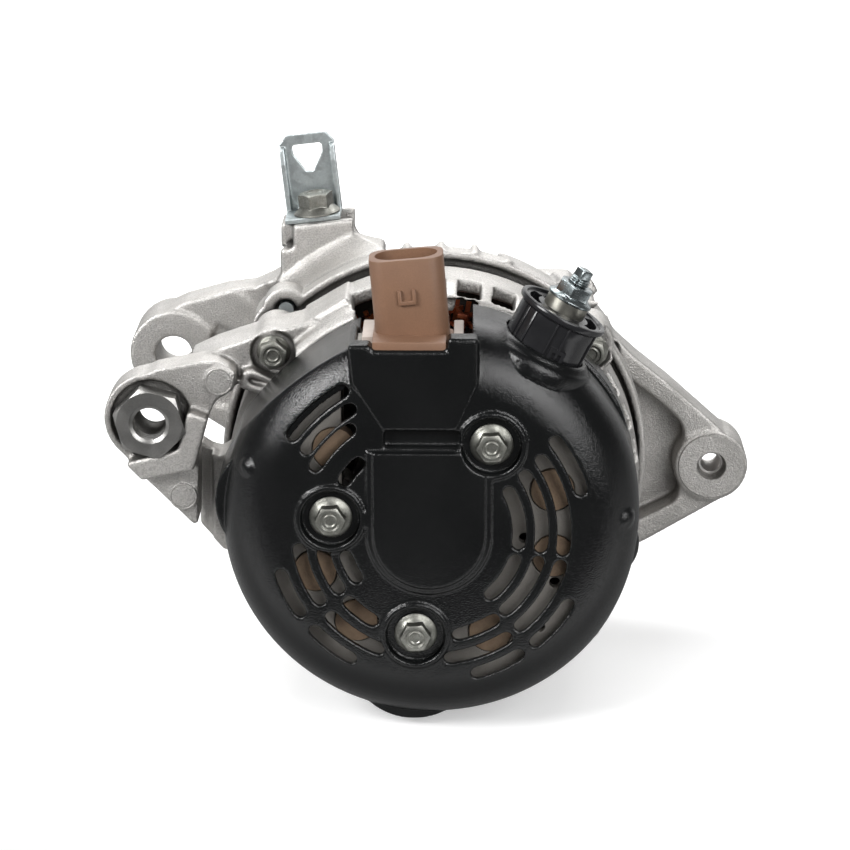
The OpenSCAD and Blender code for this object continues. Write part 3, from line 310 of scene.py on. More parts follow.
def makeGrainGroup():
    # fine pitted skin of a casting or moulding, Size in millimetres
    group, start, end = newGroup("skinGrain", {"Size": 0.5, "Detail": 3.0, "Swell": 0.45},
                                 ("Height", "Speckle"))
    coords = objectCoords(group)
    fineScale = mathNode(group, "DIVIDE", 1000.0, start["Size"], (-700, 0))
    fine = noiseNode(group, coords, fineScale, start["Detail"], (-450, 200))
    coarseScale = mathNode(group, "MULTIPLY", fineScale, 0.23, (-500, -200))
    coarse = noiseNode(group, coords, coarseScale, 2.0, (-300, -200))
    blend = mathNode(group, "MULTIPLY", coarse, start["Swell"], (-100, -200))
    height = mathNode(group, "ADD", fine, blend, (60, 100))
    group.links.new(height, end["Height"])
    group.links.new(spreadNode(group, fine, 0.42, 0.62, (60, -100)), end["Speckle"])
    return group


def makeBlotchGroup():
    # slow change of tone over the surface, Size in millimetres
    group, start, end = newGroup("toneBlotches", {"Size": 20.0}, ("Mask",))
    coords = objectCoords(group)
    scale = mathNode(group, "DIVIDE", 1000.0, start["Size"], (-700, 0))
    cloud = noiseNode(group, coords, scale, 5.0, (-400, 0))
    group.links.new(spreadNode(group, cloud, 0.36, 0.64, (-100, 0)), end["Mask"])
    return group


def makeWearGroup():
    # convex edges rubbed bright, and a mask of the hollows, which the materials darken
    group, start, end = newGroup("edgeWearAndHollows", {"Reach": 0.04}, ("Edge", "Hollow"))
    bend = addNode(group, "ShaderNodeNewGeometry", (-700, 0)).outputs["Pointiness"]
    offset = mathNode(group, "SUBTRACT", bend, 0.5, (-500, 0))
    raised = mathNode(group, "DIVIDE", offset, start["Reach"], (-300, 100))
    sunk = mathNode(group, "MULTIPLY", raised, -1.0, (-300, -100))
    group.links.new(spreadNode(group, raised, 0.15, 1.0, (0, 100)), end["Edge"])
    group.links.new(spreadNode(group, sunk, 0.15, 1.0, (0, -100)), end["Hollow"])
    return group


def makeShelterGroup():
    # dirt and painted shade where a casting is hemmed in: the mask rises where ambient occlusion finds
    # surfaces close by, Reach in metres
    group, start, end = newGroup("shelteredDirtAndShade", {"Reach": 0.012}, ("Mask",))
    shelter = addNode(group, "ShaderNodeAmbientOcclusion", (-500, 0), {"samples": 8})
    group.links.new(start["Reach"], shelter.inputs["Distance"])
    clear = spreadNode(group, shelter.outputs["AO"], 0.35, 0.95, (-250, 0))
    group.links.new(mathNode(group, "SUBTRACT", 1.0, clear, (0, 0)), end["Mask"])
    return group


groups = {
    "grain": makeGrainGroup(),
    "blotches": makeBlotchGroup(),
    "wear": makeWearGroup(),
    "shelter": makeShelterGroup(),
}


# grain, blotch and edge are in millimetres
lookDefaults = {"metallic": 1.0, "specular": 0.5, "roughSpread": 0.1, "grain": 0.5, "detail": 3.0,
                "swell": 0.45, "speckle": 0.22, "bump": 0.05}
looks = {
    "castAluminium": {"color": (0.65, 0.633, 0.61), "shade": (0.51, 0.495, 0.475), "roughness": 0.44,
        "roughSpread": 0.12, "grain": 0.48, "bump": 0.42, "blotch": 14, "wear": 0.1, "creaseDark": 0.35,
        "speckle": 0.65, "shelter": 0.68},
    "machinedAluminium": {"color": (0.6, 0.585, 0.57), "shade": (0.52, 0.5, 0.48), "roughness": 0.34,
        "grain": 0.35, "bump": 0.06, "blotch": 9, "edge": 0.3},
    "blackPlastic": {"color": (0.0042, 0.0046, 0.0048), "shade": (0.006, 0.0064, 0.0066), "metallic": 0.0,
        "roughness": 0.17, "roughSpread": 0.05, "grain": 0.33, "detail": 0.0, "swell": 0.0, "bump": 0.2,
        "blotch": 22, "specular": 0.45, "wear": 0.02},
    "glossBlack": {"color": (0.013, 0.013, 0.0145), "shade": (0.018, 0.018, 0.0195), "metallic": 0.0,
        "roughness": 0.17, "roughSpread": 0.06, "grain": 0.9, "blotch": 12, "specular": 0.42, "wear": 0.05},
    "zincPlate": {"color": (0.4, 0.4, 0.365), "shade": (0.27, 0.27, 0.243), "roughness": 0.34,
        "roughSpread": 0.16, "bump": 0.1, "blotch": 2.5, "edge": 0.3, "speckle": 0.5, "shelter": 0.6},
    "brightZinc": {"color": (0.55, 0.605, 0.62), "shade": (0.22, 0.25, 0.256), "roughness": 0.18,
        "roughSpread": 0.14, "grain": 0.6, "blotch": 2.2, "edge": 0.25, "shelter": 0.5},
    "bracketZinc": {"color": (0.7, 0.755, 0.765), "shade": (0.45, 0.49, 0.495), "roughness": 0.36,
        "roughSpread": 0.16, "grain": 0.6, "blotch": 3, "wear": 0.3, "creaseDark": 0.3},
    "nickelCollar": {"color": (0.46, 0.45, 0.4), "shade": (0.33, 0.32, 0.28), "roughness": 0.3,
        "roughSpread": 0.12, "grain": 0.4, "bump": 0.04, "blotch": 5, "edge": 0.3},
    "darkSteel": {"color": (0.25, 0.24, 0.23), "shade": (0.17, 0.165, 0.16), "roughness": 0.38,
        "roughSpread": 0.14, "bump": 0.06, "blotch": 6, "edge": 0.3},
    "bushSteel": {"color": (0.32, 0.315, 0.305), "shade": (0.235, 0.23, 0.22), "roughness": 0.36,
        "roughSpread": 0.12, "grain": 0.6, "bump": 0.08, "blotch": 7, "wear": 0.4, "speckle": 0.4},
    "laminations": {"color": (0.06, 0.058, 0.055), "shade": (0.035, 0.033, 0.03), "roughness": 0.5,
        "roughSpread": 0.12, "grain": 0.4, "bump": 0.08, "blotch": 8, "edge": 0.15},
    "copperEnamel": {"color": (0.34, 0.1, 0.035), "shade": (0.16, 0.035, 0.015), "metallic": 0.55,
        "roughness": 0.26, "grain": 1.2, "blotch": 6, "edge": 0.3},
    "bearingSteel": {"color": (0.58, 0.58, 0.57), "shade": (0.48, 0.48, 0.47), "roughness": 0.16,
        "roughSpread": 0.08, "grain": 0.3, "bump": 0.02, "blotch": 10, "edge": 0.25},
    "plateAluminium": {"color": (0.33, 0.31, 0.285), "shade": (0.26, 0.245, 0.225), "metallic": 0.75,
        "roughness": 0.46, "grain": 0.45, "blotch": 10, "edge": 0.4},
    "diodeEpoxy": {"color": (0.215, 0.15, 0.098), "shade": (0.165, 0.112, 0.072), "metallic": 0.0,
        "roughness": 0.5, "roughSpread": 0.12, "grain": 0.6, "blotch": 5, "edge": 0.3},
    "darkResin": {"color": (0.022, 0.019, 0.017), "shade": (0.035, 0.03, 0.027), "metallic": 0.0,
        "roughness": 0.5, "roughSpread": 0.12, "bump": 0.08, "blotch": 9, "edge": 0.4, "specular": 0.35},
    "tanPlastic": {"color": (0.208, 0.114, 0.069), "shade": (0.172, 0.093, 0.056), "metallic": 0.0,
        "roughness": 0.42, "bump": 0.08, "blotch": 13, "specular": 0.4, "wear": 0.16},
    "paleResin": {"color": (0.5, 0.43, 0.385), "shade": (0.4, 0.34, 0.3), "metallic": 0.0, "roughness": 0.4,
        "blotch": 9, "wear": 0.1},
    "tinPlate": {"color": (0.62, 0.6, 0.56), "shade": (0.5, 0.48, 0.45), "roughness": 0.3,
        "roughSpread": 0.12, "grain": 0.4, "bump": 0.03, "blotch": 4, "edge": 0.2},
    "carbon": {"color": (0.02, 0.02, 0.021), "shade": (0.035, 0.035, 0.036), "metallic": 0.0,
        "roughness": 0.62, "grain": 0.3, "bump": 0.1, "blotch": 4, "edge": 0.2},
    "ringCopper": {"color": (0.62, 0.33, 0.18), "shade": (0.5, 0.25, 0.13), "roughness": 0.24, "grain": 0.4,
        "bump": 0.03, "blotch": 5, "edge": 0.2},
    "cagePolymer": {"color": (0.16, 0.085, 0.035), "shade": (0.12, 0.065, 0.03), "metallic": 0.0,
        "roughness": 0.42, "bump": 0.04, "blotch": 8, "edge": 0.3},
}


def mixColor(tree, mask, first, second, place=(0, 0)):
    node = addNode(tree, "ShaderNodeMix", place, {"data_type": "RGBA"})
    for index, value in ((6, first), (7, second)):      # the two colour sockets of a Mix node
        if isinstance(value, tuple):
            node.inputs[index].default_value = (*value, 1.0)
        else:
            tree.links.new(value, node.inputs[index])
    tree.links.new(mask, node.inputs[0])
    return node.outputs[2]


def useGroup(tree, key, place, **values):
    node = tree.nodes.new("ShaderNodeGroup")
    node.node_tree = groups[key]
    node.location = place
    for label, value in values.items():
        node.inputs[label].default_value = value
    return node


# two of these tones darken the colour: one in creases, one as dirt and painted shade where a casting is
# hemmed in
tones = {"speckle": 0.72, "rubbed": 1.25, "rubbedLift": 0.02, "creaseTone": 0.42, "soot": 0.3,
         "wearReach": 0.05, "shelterReach": 0.01, "bumpHeight": 0.0006}


def makeMaterial(name, look):
    look = {**lookDefaults, **look}
    material = bpy.data.materials.new(name)
    material.use_nodes = True
    tree = material.node_tree
    shader = tree.nodes["Principled BSDF"]
    shader.inputs["Metallic"].default_value = look["metallic"]
    shader.inputs["Specular IOR Level"].default_value = look["specular"]

    grain = useGroup(tree, "grain", (-900, -200), Size=look["grain"], Detail=look["detail"],
                     Swell=look["swell"])
    blotch = useGroup(tree, "blotches", (-900, 200), Size=float(look["blotch"]))
    color = mixColor(tree, blotch.outputs["Mask"], look["color"], look["shade"], (-500, 300))
    speckled = tuple(tones["speckle"] * part for part in look["shade"])
    speckle = mathNode(tree, "MULTIPLY", grain.outputs["Speckle"], look["speckle"], (-700, 0))
    color = mixColor(tree, speckle, color, speckled, (-300, 300))
    if "wear" in look:
        wear = useGroup(tree, "wear", (-900, 500), Reach=tones["wearReach"])
        rubbed = tuple(min(1.0, tones["rubbed"] * part + tones["rubbedLift"]) for part in look["color"])
        edge = mathNode(tree, "MULTIPLY", wear.outputs["Edge"], look["wear"], (-500, 600))
        color = mixColor(tree, edge, color, rubbed, (-100, 400))
        # darker in creases: the colour darkens where pointiness is low
        if "creaseDark" in look:
            creaseTone = tuple(tones["creaseTone"] * part for part in look["shade"])
            hollow = mathNode(tree, "MULTIPLY", wear.outputs["Hollow"], look["creaseDark"], (-500, 500))
            color = mixColor(tree, hollow, color, creaseTone, (0, 500))
    if "shelter" in look:
        # painted shade and dirt: the colour darkens where nearby surfaces hem the point in
        sheltered = useGroup(tree, "shelter", (-900, 700), Reach=tones["shelterReach"])
        soot = tuple(tones["soot"] * part for part in look["shade"])
        depth = mathNode(tree, "MULTIPLY", sheltered.outputs["Mask"], look["shelter"], (-500, 700))
        color = mixColor(tree, depth, color, soot, (100, 600))
    tree.links.new(color, shader.inputs["Base Color"])

    spread = mathNode(tree, "MULTIPLY", blotch.outputs["Mask"], look["roughSpread"], (-500, 0))
    rough = mathNode(tree, "ADD", spread, look["roughness"], (-300, 0))
    tree.links.new(rough, shader.inputs["Roughness"])

    bump = addNode(tree, "ShaderNodeBump", (-200, -300), Strength=look["bump"],
                   Distance=tones["bumpHeight"])
    tree.links.new(grain.outputs["Height"], bump.inputs["Height"])
    if "edge" in look:
        rounded = addNode(tree, "ShaderNodeBevel", (-450, -450), {"samples": 4}, Radius=look["edge"] * mm)
        tree.links.new(rounded.outputs[0], bump.inputs["Normal"])
    tree.links.new(bump.outputs[0], shader.inputs["Normal"])
    return material


materials = {name: makeMaterial(name, look) for name, look in looks.items()}
print("materials made:", len(materials))

nodeFinishes = {
    "castAluminium": ("front_housing", "rear_housing"),
    "blackPlastic": ("rear_cover",),
    "zincPlate": ("cover_bolts", "through_bolts", "bearing_retainer_plate", "retainer_screws",
        "brush_holder_screws", "bracket_bolt", "pulley_nut"),
    "laminations": ("stator_core",),
    "copperEnamel": ("stator_winding", "field_coil"),
    "bearingSteel": ("front_bearing_outer_ring", "rear_bearing_outer_ring", "rear_brush_spring",
        "front_brush_spring", "front_bearing_inner_ring", "rear_bearing_inner_ring",
        "front_bearing_balls", "rear_bearing_balls"),
    "plateAluminium": ("positive_heat_sink", "negative_heat_sink", "regulator_heat_sink"),
    "diodeEpoxy": ("positive_diodes", "negative_diodes"),
    "darkResin": ("rectifier_frame", "rectifier_bushings", "brush_holder", "regulator_body",
        "coil_bobbin", "slip_ring_core"),
    "tanPlastic": ("plug_socket",),
    "tinPlate": ("socket_pins",),
    "glossBlack": ("terminal_insulator",),
    "nickelCollar": ("terminal_collar",),
    "brightZinc": ("terminal_stud", "terminal_nut"),
    "bracketZinc": ("harness_bracket", "locating_pin"),
    "darkSteel": ("rotor_shaft", "front_pole", "rear_pole", "front_fan", "rear_fan", "rotor_spacer",
        "pulley"),
    "ringCopper": ("slip_rings",),
    "cagePolymer": ("front_bearing_cage", "rear_bearing_cage"),
    "carbon": ("rear_brush", "front_brush"),
    "bushSteel": ("mount_bush",),
}
for materialName, members in nodeFinishes.items():
    for nodeName in members:
        nodes[nodeName].data.materials.clear()
        nodes[nodeName].data.materials.append(materials[materialName])


terminal = {
    "at": (39.4, -126, 64.2), "lean": 27.5, "body": 12.6, "rim": 13.9, "height": 15.0, "bore": 6.56,
    "ribs": [(-160, 20), (-145, 4), (-131, 5), (-95, 3), (-78, 3), (-25, 4)], "clipAt": -78,
    "pockets": [(148, 216), (-32, 36)], "pocket": [(8.2, -8.0), (11.2, -8.0), (11.2, 1.0), (8.2, 1.0)],
    "nutFlats": 10.0, "nutLow": 3.0, "nutHigh": 8.4, "nutBore": 2.72, "nutSpin": 20, "studSpin": 35,
    "seat": [(12.9, -19.5), (12.9, -12.6), (13.4, -12.3), (14.6, -12.9), (15.5, -14.2), (16.5, -14.8),
             (17.3, -16.2), (17.7, -19.5)],
}

regulatorHump = {
    "outline": [(-14.6, 31.9), (7.4, 31.9), (13.6, 46), (13.6, 60.4), (4.6, 60.4), (4.4, 56.6),
                (-17.6, 56.6), (-17.8, 58.2), (-24.8, 58.2), (-23.6, 46)],
    "rear": -146.5, "front": -139.5, "edge": 1.3,
    # a black plastic sheet closes the slot under the hump: painted shade standing in for the dark inside of
    # the opening
    "slotShadeSheet": ((-15.2, -142.9, 25.8), (9.8, -141.4, 32.6)),
}


def makeHump():
    hump = platePiece("hump", regulatorHump["outline"], regulatorHump["rear"], regulatorHump["front"])
    return roundEdges(hump, regulatorHump["edge"], 1, 60)


def makeTerminalSeat():
    # moulded swell round the foot of the output terminal
    seat = spunPiece("terminalSeat", terminal["seat"], 72)
    return place(seat, leanFrame(*terminal["at"], terminal["lean"]))


knuckles = {"radius": 4.4, "places": ((-53.2, -137.9, 17.9), (56.7, -137.4, 2.5))}


def makeKnuckle(spot):
    # low swell where a seating lobe meets the cover's shoulder
    clearSelection()
    bpy.ops.mesh.primitive_uv_sphere_add(segments=48, ring_count=24, radius=knuckles["radius"] * mm,
                                         location=[part * mm for part in spot])
    return takeNew("knuckle")


def makeCoverParts():
    # the hump, the terminal's seat, a black sheet of painted shade in the hump's slot, and the knuckles
    return [makeHump(), makeTerminalSeat(), boxPiece("slotShadeSheet", *regulatorHump["slotShadeSheet"]),
            *(makeKnuckle(spot) for spot in knuckles["places"])]


# each sector is an outline of radius and distance along the shaft, and the two angles it runs between
coverCuts = {"window": ((-21.8, -140, 50), (12.0, -106, 70)),
             "sectors": {"skirtCut": ([(58, -115), (72, -115), (72, -104), (58, -104)], 61, 84)}}


def makeSectors(sectors):
    return [sectorPiece(name, *sector) for name, sector in sectors.items()]


def makeCoverCuts():
    # room for the plug socket's foot, and the lower edge between the socket and the terminal
    return [boxPiece("window", *coverCuts["window"]), *makeSectors(coverCuts["sectors"])]


armRibs = {
    "upperRib": [(61.0, 19.2), (78.4, 4.8), (81.6, 1.7), (84.5, 4.0), (80.5, 11.8), (77.2, 14.6),
                 (67.0, 22.7), (60.2, 29.6)],
    "lowerRib": [(81.6, -24.9), (79.5, -27.5), (71.2, -31.9), (62.0, -36.4), (62.0, -40.0),
                 (70.4, -40.8), (84.5, -32.4)],
}
armRibSpan = (-38.2, -34)       # rear and front along the shaft


def makeArmRibs():
    # the arm's two ribs run unbroken from the rim to the lug
    return [platePiece(name, outline, *armRibSpan) for name, outline in armRibs.items()]


lug = {
    "at": (92.4, -14), "face": -38.3, "counterbore": (4.85, -3.7, 1.5),
    "seat": [(4.75, -3.8), (4.75, 0.5), (5.0, 0.75), (10.9, 0.75), (11.2, 0.45), (11.2, -0.9), (6, -3.8)],
    "crest": 3.25, "root": 3.62, "rear": -34.6, "front": -22.2, "pitch": 1.25,
    "sleeve": [(3.72, -22.2), (3.72, -34.4), (4.9, -34.4), (4.9, -34.6)],
}
rimSectors = {
    "shoulderCut": ([(68.7, -69), (66.2, -52), (63.4, -42), (62.6, -36.1), (90, -36.1), (90, -69)],
                    55.5, 73.8),
    "flangeCut": ([(71.6, -72), (71.0, -66), (68.0, -52), (66.4, -38.3), (90, -38.3), (90, -72)], 43, 58.5),
    "armCut": ([(69.4, -75), (69.0, -38.3), (92, -38.3), (92, -75)], 14, 44.5),
}


def rodPiece(name, radius, low, high, steps):
    return spunPiece(name, [(0, low), (radius, low), (radius, high), (0, high)], steps, closed=False)


def makeRimCuts():
    # the flange beside the terminal falls away towards the front
    x, z = lug["at"]
    bore = place(rodPiece("counterbore", *lug["counterbore"], 64), shaftFrame(x, lug["face"], z))
    return [*makeSectors(rimSectors), bore]


nearWeb = {
    "outline": [(-58.8, 38.0), (-55.6, 39.0), (-50.4, 36.2), (-49.6, 31.8), (-53.6, 30.6), (-59.8, 33.0)],
    "span": (-106.5, -99),
    "groove": [(-56.6, 36.6), (-50.0, 34.4), (-50.6, 33.0), (-57.0, 34.2)],
    "grooveSpan": (-107.5, -104.4),
}


def makeNearWeb():
    # short ribbed web between the near arm and the through bolt's seat
    web = platePiece("nearWeb", nearWeb["outline"], *nearWeb["span"])
    groove = platePiece("groove", nearWeb["groove"], *nearWeb["grooveSpan"])
    return [combine(web, groove, "DIFFERENCE")]


wallSectors = {
    "wallWindow": ([(49.5, -112), (61.8, -112), (61.8, -103.5), (49.5, -103.5)], 77, 113),
    "shoulderWindow": ([(60, -112), (65.4, -112), (65.4, -103.5), (60, -103.5)], 103.5, 112.4),
}


def makeWallWindow():
    # the rear wall is open above the plug socket's foot, where the winding shows
    return makeSectors(wallSectors)


castings = {
    "frontHousing": {"node": "front_housing", "slot": "cast_aluminium", "material": "castAluminium",
                     "voxel": 0.7, "smooth": 4, "share": 0.5, "cut": makeRimCuts, "add": makeArmRibs},
    "rearHousing": {"node": "rear_housing", "slot": "cast_aluminium", "material": "castAluminium",
                    "voxel": 0.65, "smooth": 3, "share": 0.5, "cut": makeWallWindow, "add": makeNearWeb},
    "rearCover": {"node": "rear_cover", "slot": "black_plastic", "material": "blackPlastic",
                  "voxel": 0.45, "smooth": 4, "share": 0.42, "cut": makeCoverCuts, "add": makeCoverParts},
    "harnessBracket": {"node": "harness_bracket", "slot": "bright_zinc", "material": "bracketZinc",
                       "voxel": 0.22, "smooth": 3, "share": 0.4, "cut": list, "add": list},
}


def roundCasting(name, cast):
    # rounds every edge of a CAD node as a mould does
    piece = copyNode(cast["node"], name)
    for cutter in cast["cut"]():
        combine(piece, cutter, "DIFFERENCE")
    piece = joinPieces([piece, *cast["add"]()], name)
    modify(piece, "REMESH", mode="VOXEL", voxel_size=cast["voxel"] * mm)
    modify(piece, "SMOOTH", factor=0.5, iterations=cast["smooth"])
    modify(piece, "DECIMATE", ratio=cast["share"])
    pick(piece)
    bpy.ops.object.shade_smooth()
    finishPiece(piece, "housing", cast["material"], (cast["node"],))
    print("rounded", name, len(piece.data.polygons), "faces")


for castName, cast in castings.items():
    roundCasting(castName, cast)


throughBoltRing = 65.5
bracketPost = {"at": (-38.3, -42.8, 72), "plate": 1.6, "lean": 6.5, "spin": 12}


def makeBracketSeat():
    # the bolt sits on the bracket's plate, which lies on the leaning post
    x, y, z = bracketPost["at"]
    lean, plate = math.radians(bracketPost["lean"]), bracketPost["plate"]
    return leanFrame(x - plate * math.sin(lean), y, z + plate * math.cos(lean), -bracketPost["lean"],
                     bracketPost["spin"])


boltHeads = {
    "coverBolts": {"flats": 8.0, "head": 5.0, "flange": 6.5, "shank": 2.45, "length": 29.5, "dish": 3.0,
                   "places": [shaftFrame(x, -144, z, 4)
                              for x, z in ((17.8, 27.3), (-30.2, 4.3), (-4.8, -32.8))],
                   "slot": "zinc_plate", "material": "zincPlate", "node": "cover_bolts"},
    "throughBolts": {"flats": 8.0, "head": 5.5, "flange": 5.25, "shank": 2.45, "length": 38.5, "dish": 3.0,
                     "places": [shaftFrame(throughBoltRing * math.cos(math.radians(a)), -100,
                                           throughBoltRing * math.sin(math.radians(a)), a)
                                for a in (139, 42, -45, -135)],
                     "slot": "zinc_plate", "material": "zincPlate", "node": "through_bolts"},
    "bracketBolt": {"flats": 10.0, "head": 6.8, "flange": 7.55, "shank": 2.95, "length": 13.4, "dish": 3.5,
                    "places": [makeBracketSeat()],
                    "slot": "zinc_plate", "material": "zincPlate", "node": "bracket_bolt"},
}


def makeBolt(name, bolt):
    # head up, seat at zero, shank down
    corner = bolt["flats"] / 2 / math.cos(math.pi / 6)
    top, dish, flange = bolt["head"], bolt["dish"], bolt["flange"]
    head = hexPrism(name, bolt["flats"], 0.7, top + 0.5)
    crown = [(0, 0.5), (corner + 1, 0.5), (corner + 1, top - 0.9), (corner * 0.84, top - 0.12),
             (dish + 0.25, top), (dish - 0.05, top), (dish - 0.35, top - 0.35), (dish - 0.8, top - 0.42),
             (dish - 1.0, top - 0.25), (dish - 1.3, top - 0.25), (dish - 1.6, top - 0.5), (0, top - 0.6)]
    limits = spunPiece("limits", crown, 48, closed=False)
    combine(head, limits, "INTERSECT")
    rise, shank, end = top * 0.28, bolt["shank"], -bolt["length"]
    course = [(0, end), (shank - 0.5, end), (shank, end + 0.6), (shank, 0), (flange - 0.2, 0),
              (flange, 0.15), (flange, 0.42), (flange - 0.25, 0.66), (flange - 0.9, rise * 0.66),
              (corner + 0.25, rise * 0.9), (corner - 0.15, rise + 0.25), (corner - 0.8, rise + 0.7),
              (0, rise + 0.7)]
    base = spunPiece("base", course, 64, closed=False)
    piece = joinPieces([head, base], name)
    smoothEdges(piece, 32)
    return piece


def makeBolts(name, bolt):
    first = makeBolt(name, bolt)
    copies = [first] + [duplicate(first, name + "Copy") for _ in bolt["places"][1:]]
    for copy, frameMatrix in zip(copies, bolt["places"]):
        place(copy, frameMatrix)
    finishPiece(joinPieces(copies, name), "housing", bolt["material"], (bolt["node"],))


for boltName, bolt in boltHeads.items():
    makeBolts(boltName, bolt)
print("bolts made")


def makeInsulator():
    body, rim, bore = terminal["body"], terminal["rim"], terminal["bore"]
    floor = -terminal["height"]
    piece = spunPiece("terminalInsulator", [
        (bore, floor + 0.1), (body - 0.5, floor + 0.1), (body - 0.1, floor + 0.5), (body - 0.1, -5.2),
        (body, -5.0), (body, -2.6), (body + 0.3, -2.2), (rim - 0.5, -2.0), (rim - 0.1, -1.7),
        (rim, -1.3), (rim, -0.6), (rim - 0.2, -0.15), (rim - 0.6, 0.0), (rim - 1.3, 0.0),
        (rim - 1.6, -0.2), (rim - 1.8, -0.7), (rim - 2.2, -0.8), (bore + 0.7, -0.8),
        (bore + 0.3, -0.6), (bore, -0.6)], 96)
    for start, end in terminal["pockets"]:
        cutter = drawProfile("pocket", terminal["pocket"])
        bpy.ops.mesh.edge_face_add()
        bpy.ops.transform.rotate(value=math.radians(start), orient_axis="Z", center_override=(0, 0, 0))
        bpy.ops.mesh.spin(steps=14, angle=math.radians(end - start), center=(0, 0, 0), axis=(0, 0, 1))
        closeShell()
        roundEdges(cutter, 0.5, 2)
        combine(piece, cutter, "DIFFERENCE")
    shells = [piece]
    for angle, width in terminal["ribs"]:
        half = body * math.sin(math.radians(width / 2))
        rib = boxPiece("rib", (body - 1.2, -half, floor + 0.6), (body + 0.35, half, -2.4))
        roundEdges(rib, 0.2, 2)
        shells.append(place(rib, Matrix.Rotation(math.radians(angle), 4, "Z")))
    clip = boxPiece("clip", (body - 1.0, -2.6, floor + 0.5), (body + 0.45, 2.6, floor + 5.6))
    window = boxPiece("window", (body - 0.5, -1.5, floor + 1.8), (body + 2.0, 1.5, floor + 4.4))
    combine(clip, window, "DIFFERENCE")
    shells.append(place(clip, Matrix.Rotation(math.radians(terminal["clipAt"]), 4, "Z")))
    piece = joinPieces(shells, "terminalInsulator")
    smoothEdges(piece, 35)
    place(piece, leanFrame(*terminal["at"], terminal["lean"]))
    finishPiece(piece, "housing", "glossBlack", ("terminal_insulator",))


def makeNut():
    low, high, bore = terminal["nutLow"], terminal["nutHigh"], terminal["nutBore"]
    corner = terminal["nutFlats"] / 2 / math.cos(math.pi / 6)
    piece = hexPrism("terminalNut", terminal["nutFlats"], low + 0.3, high + 0.5)
    limits = spunPiece("limits", [(bore, low + 0.2), (corner + 1, low + 0.2), (corner + 1, high - 0.95),
                                  (corner * 0.85, high), (3.3, high), (bore, high - 0.5)], 48)
    combine(piece, limits, "INTERSECT")
    washer = spunPiece("washer", [(bore, low), (6.8, low), (7.0, low + 0.2), (7.0, low + 0.75),
                                  (6.8, low + 1.0), (corner + 0.2, low + 1.45), (corner - 0.3, low + 1.8),
                                  (bore, low + 1.8)], 64)
    piece = joinPieces([piece, washer], "terminalNut")
    smoothEdges(piece, 32)
    place(piece, leanFrame(*terminal["at"], terminal["lean"], terminal["nutSpin"]))
    finishPiece(piece, "housing", "brightZinc", ("terminal_nut",))


def makeStud():
    root, crest, pitch = 2.6, 2.97, 0.7
    course = [(0, -21.9), (2.95, -21.9), (2.95, -15.0), (root, -15.0), (root, 8.5)]
    for turn in range(3):
        z = 8.5 + turn * pitch
        course += [(root + 0.02, z), (crest, z + 0.28), (crest, z + 0.4)]
    course += [(root, 10.5), (2.0, 10.7), (0, 10.7)]
    piece = spunPiece("terminalStud", course, 48, closed=False)
    tip = boxPiece("tip", (-1.98, -1.98, 9.5), (1.98, 1.98, 13.4))
    roundEdges(tip, 0.45, 3)
    piece = joinPieces([piece, tip], "terminalStud")
    smoothEdges(piece, 35)
    place(piece, leanFrame(*terminal["at"], terminal["lean"], terminal["studSpin"]))
    finishPiece(piece, "housing", "brightZinc", ("terminal_stud",))


makeInsulator()
makeNut()
makeStud()
print("terminal made")


socket = {
    "at": (-5.4, -130.5, 54), "lean": -5, "width": 22, "depth": 15, "height": 28, "corner": 4.6,
    "mouth": (18.6, 11.6), "mouthCorner": 5.6, "floor": 5.0, "edge": 0.35,
    "root": ((-16.35, -137.95, 51.15), (5.55, -124.05, 54.55)),
    "plinth": ((-17.5, -145.4, 53.4), (4.3, -124.6, 59.0)),
    "shelves": (((-20.9, -134.0, 53.0), (-17.2, -114.5, 57.4)), ((6.4, -134.0, 53.0), (9.4, -114.5, 57.4))),
}


def ovalPiece(name, width, depth, corner, low, high):
    # upright block with rounded corners
    piece = boxPiece(name, (-width / 2, -depth / 2, low), (width / 2, depth / 2, high))
    pick(piece)
    bpy.context.scene.tool_settings.mesh_select_mode = (False, True, False)
    for part in (*piece.data.vertices, *piece.data.polygons):
        part.select = False
    for edge in piece.data.edges:
        a, b = (piece.data.vertices[index].co for index in edge.vertices)
        edge.select = abs(a.z - b.z) > mm
    bpy.ops.object.mode_set(mode="EDIT")
    bpy.ops.mesh.bevel(offset=corner * mm, segments=10, profile=0.5)
    closeShell()
    return piece


def makeSocket():
    width, depth, height = socket["width"], socket["depth"], socket["height"]
    piece = ovalPiece("plugSocket", width, depth, socket["corner"], 0.5, height)
    roundEdges(piece, socket["edge"], 2, 60)
    mouth = ovalPiece("mouth", *socket["mouth"], socket["mouthCorner"], socket["floor"], height + 2)
    combine(piece, mouth, "DIFFERENCE")
    foot = ovalPiece("foot", width + 2, depth + 1.4, 2.2, -1, 2)
    roundEdges(foot, socket["edge"], 2, 60)
    catch = boxPiece("catch", (-3.2, -depth / 2 - 1.0, 14.5), (2.2, -depth / 2 + 0.4, 19.0))
    notch = boxPiece("notch", (-2.1, -depth / 2 - 2, 15.7), (1.1, -depth / 2 + 1, 21))
    combine(catch, notch, "DIFFERENCE")
    roundEdges(catch, 0.22, 2)
    piece = joinPieces([piece, foot, catch], "plugSocket")
    place(piece, leanFrame(*socket["at"], socket["lean"]))
    root = boxPiece("root", *socket["root"])
    plinth = roundEdges(boxPiece("plinth", *socket["plinth"]), 0.5, 2)
    piece = joinPieces([piece, root, plinth], "plugSocket")
    smoothEdges(piece, 40)
    finishPiece(piece, "housing", "tanPlastic", ("plug_socket",))


def makeSocketShelf():
    # pale foot of the regulator's moulding on both sides of the socket
    sides = [boxPiece("shelf", *corners) for corners in socket["shelves"]]
    piece = joinPieces([roundEdges(side, 0.4, 2) for side in sides], "socketShelf")
    smoothEdges(piece, 40)
    finishPiece(piece, "housing", "paleResin")


makeSocket()
makeSocketShelf()
print("socket made")


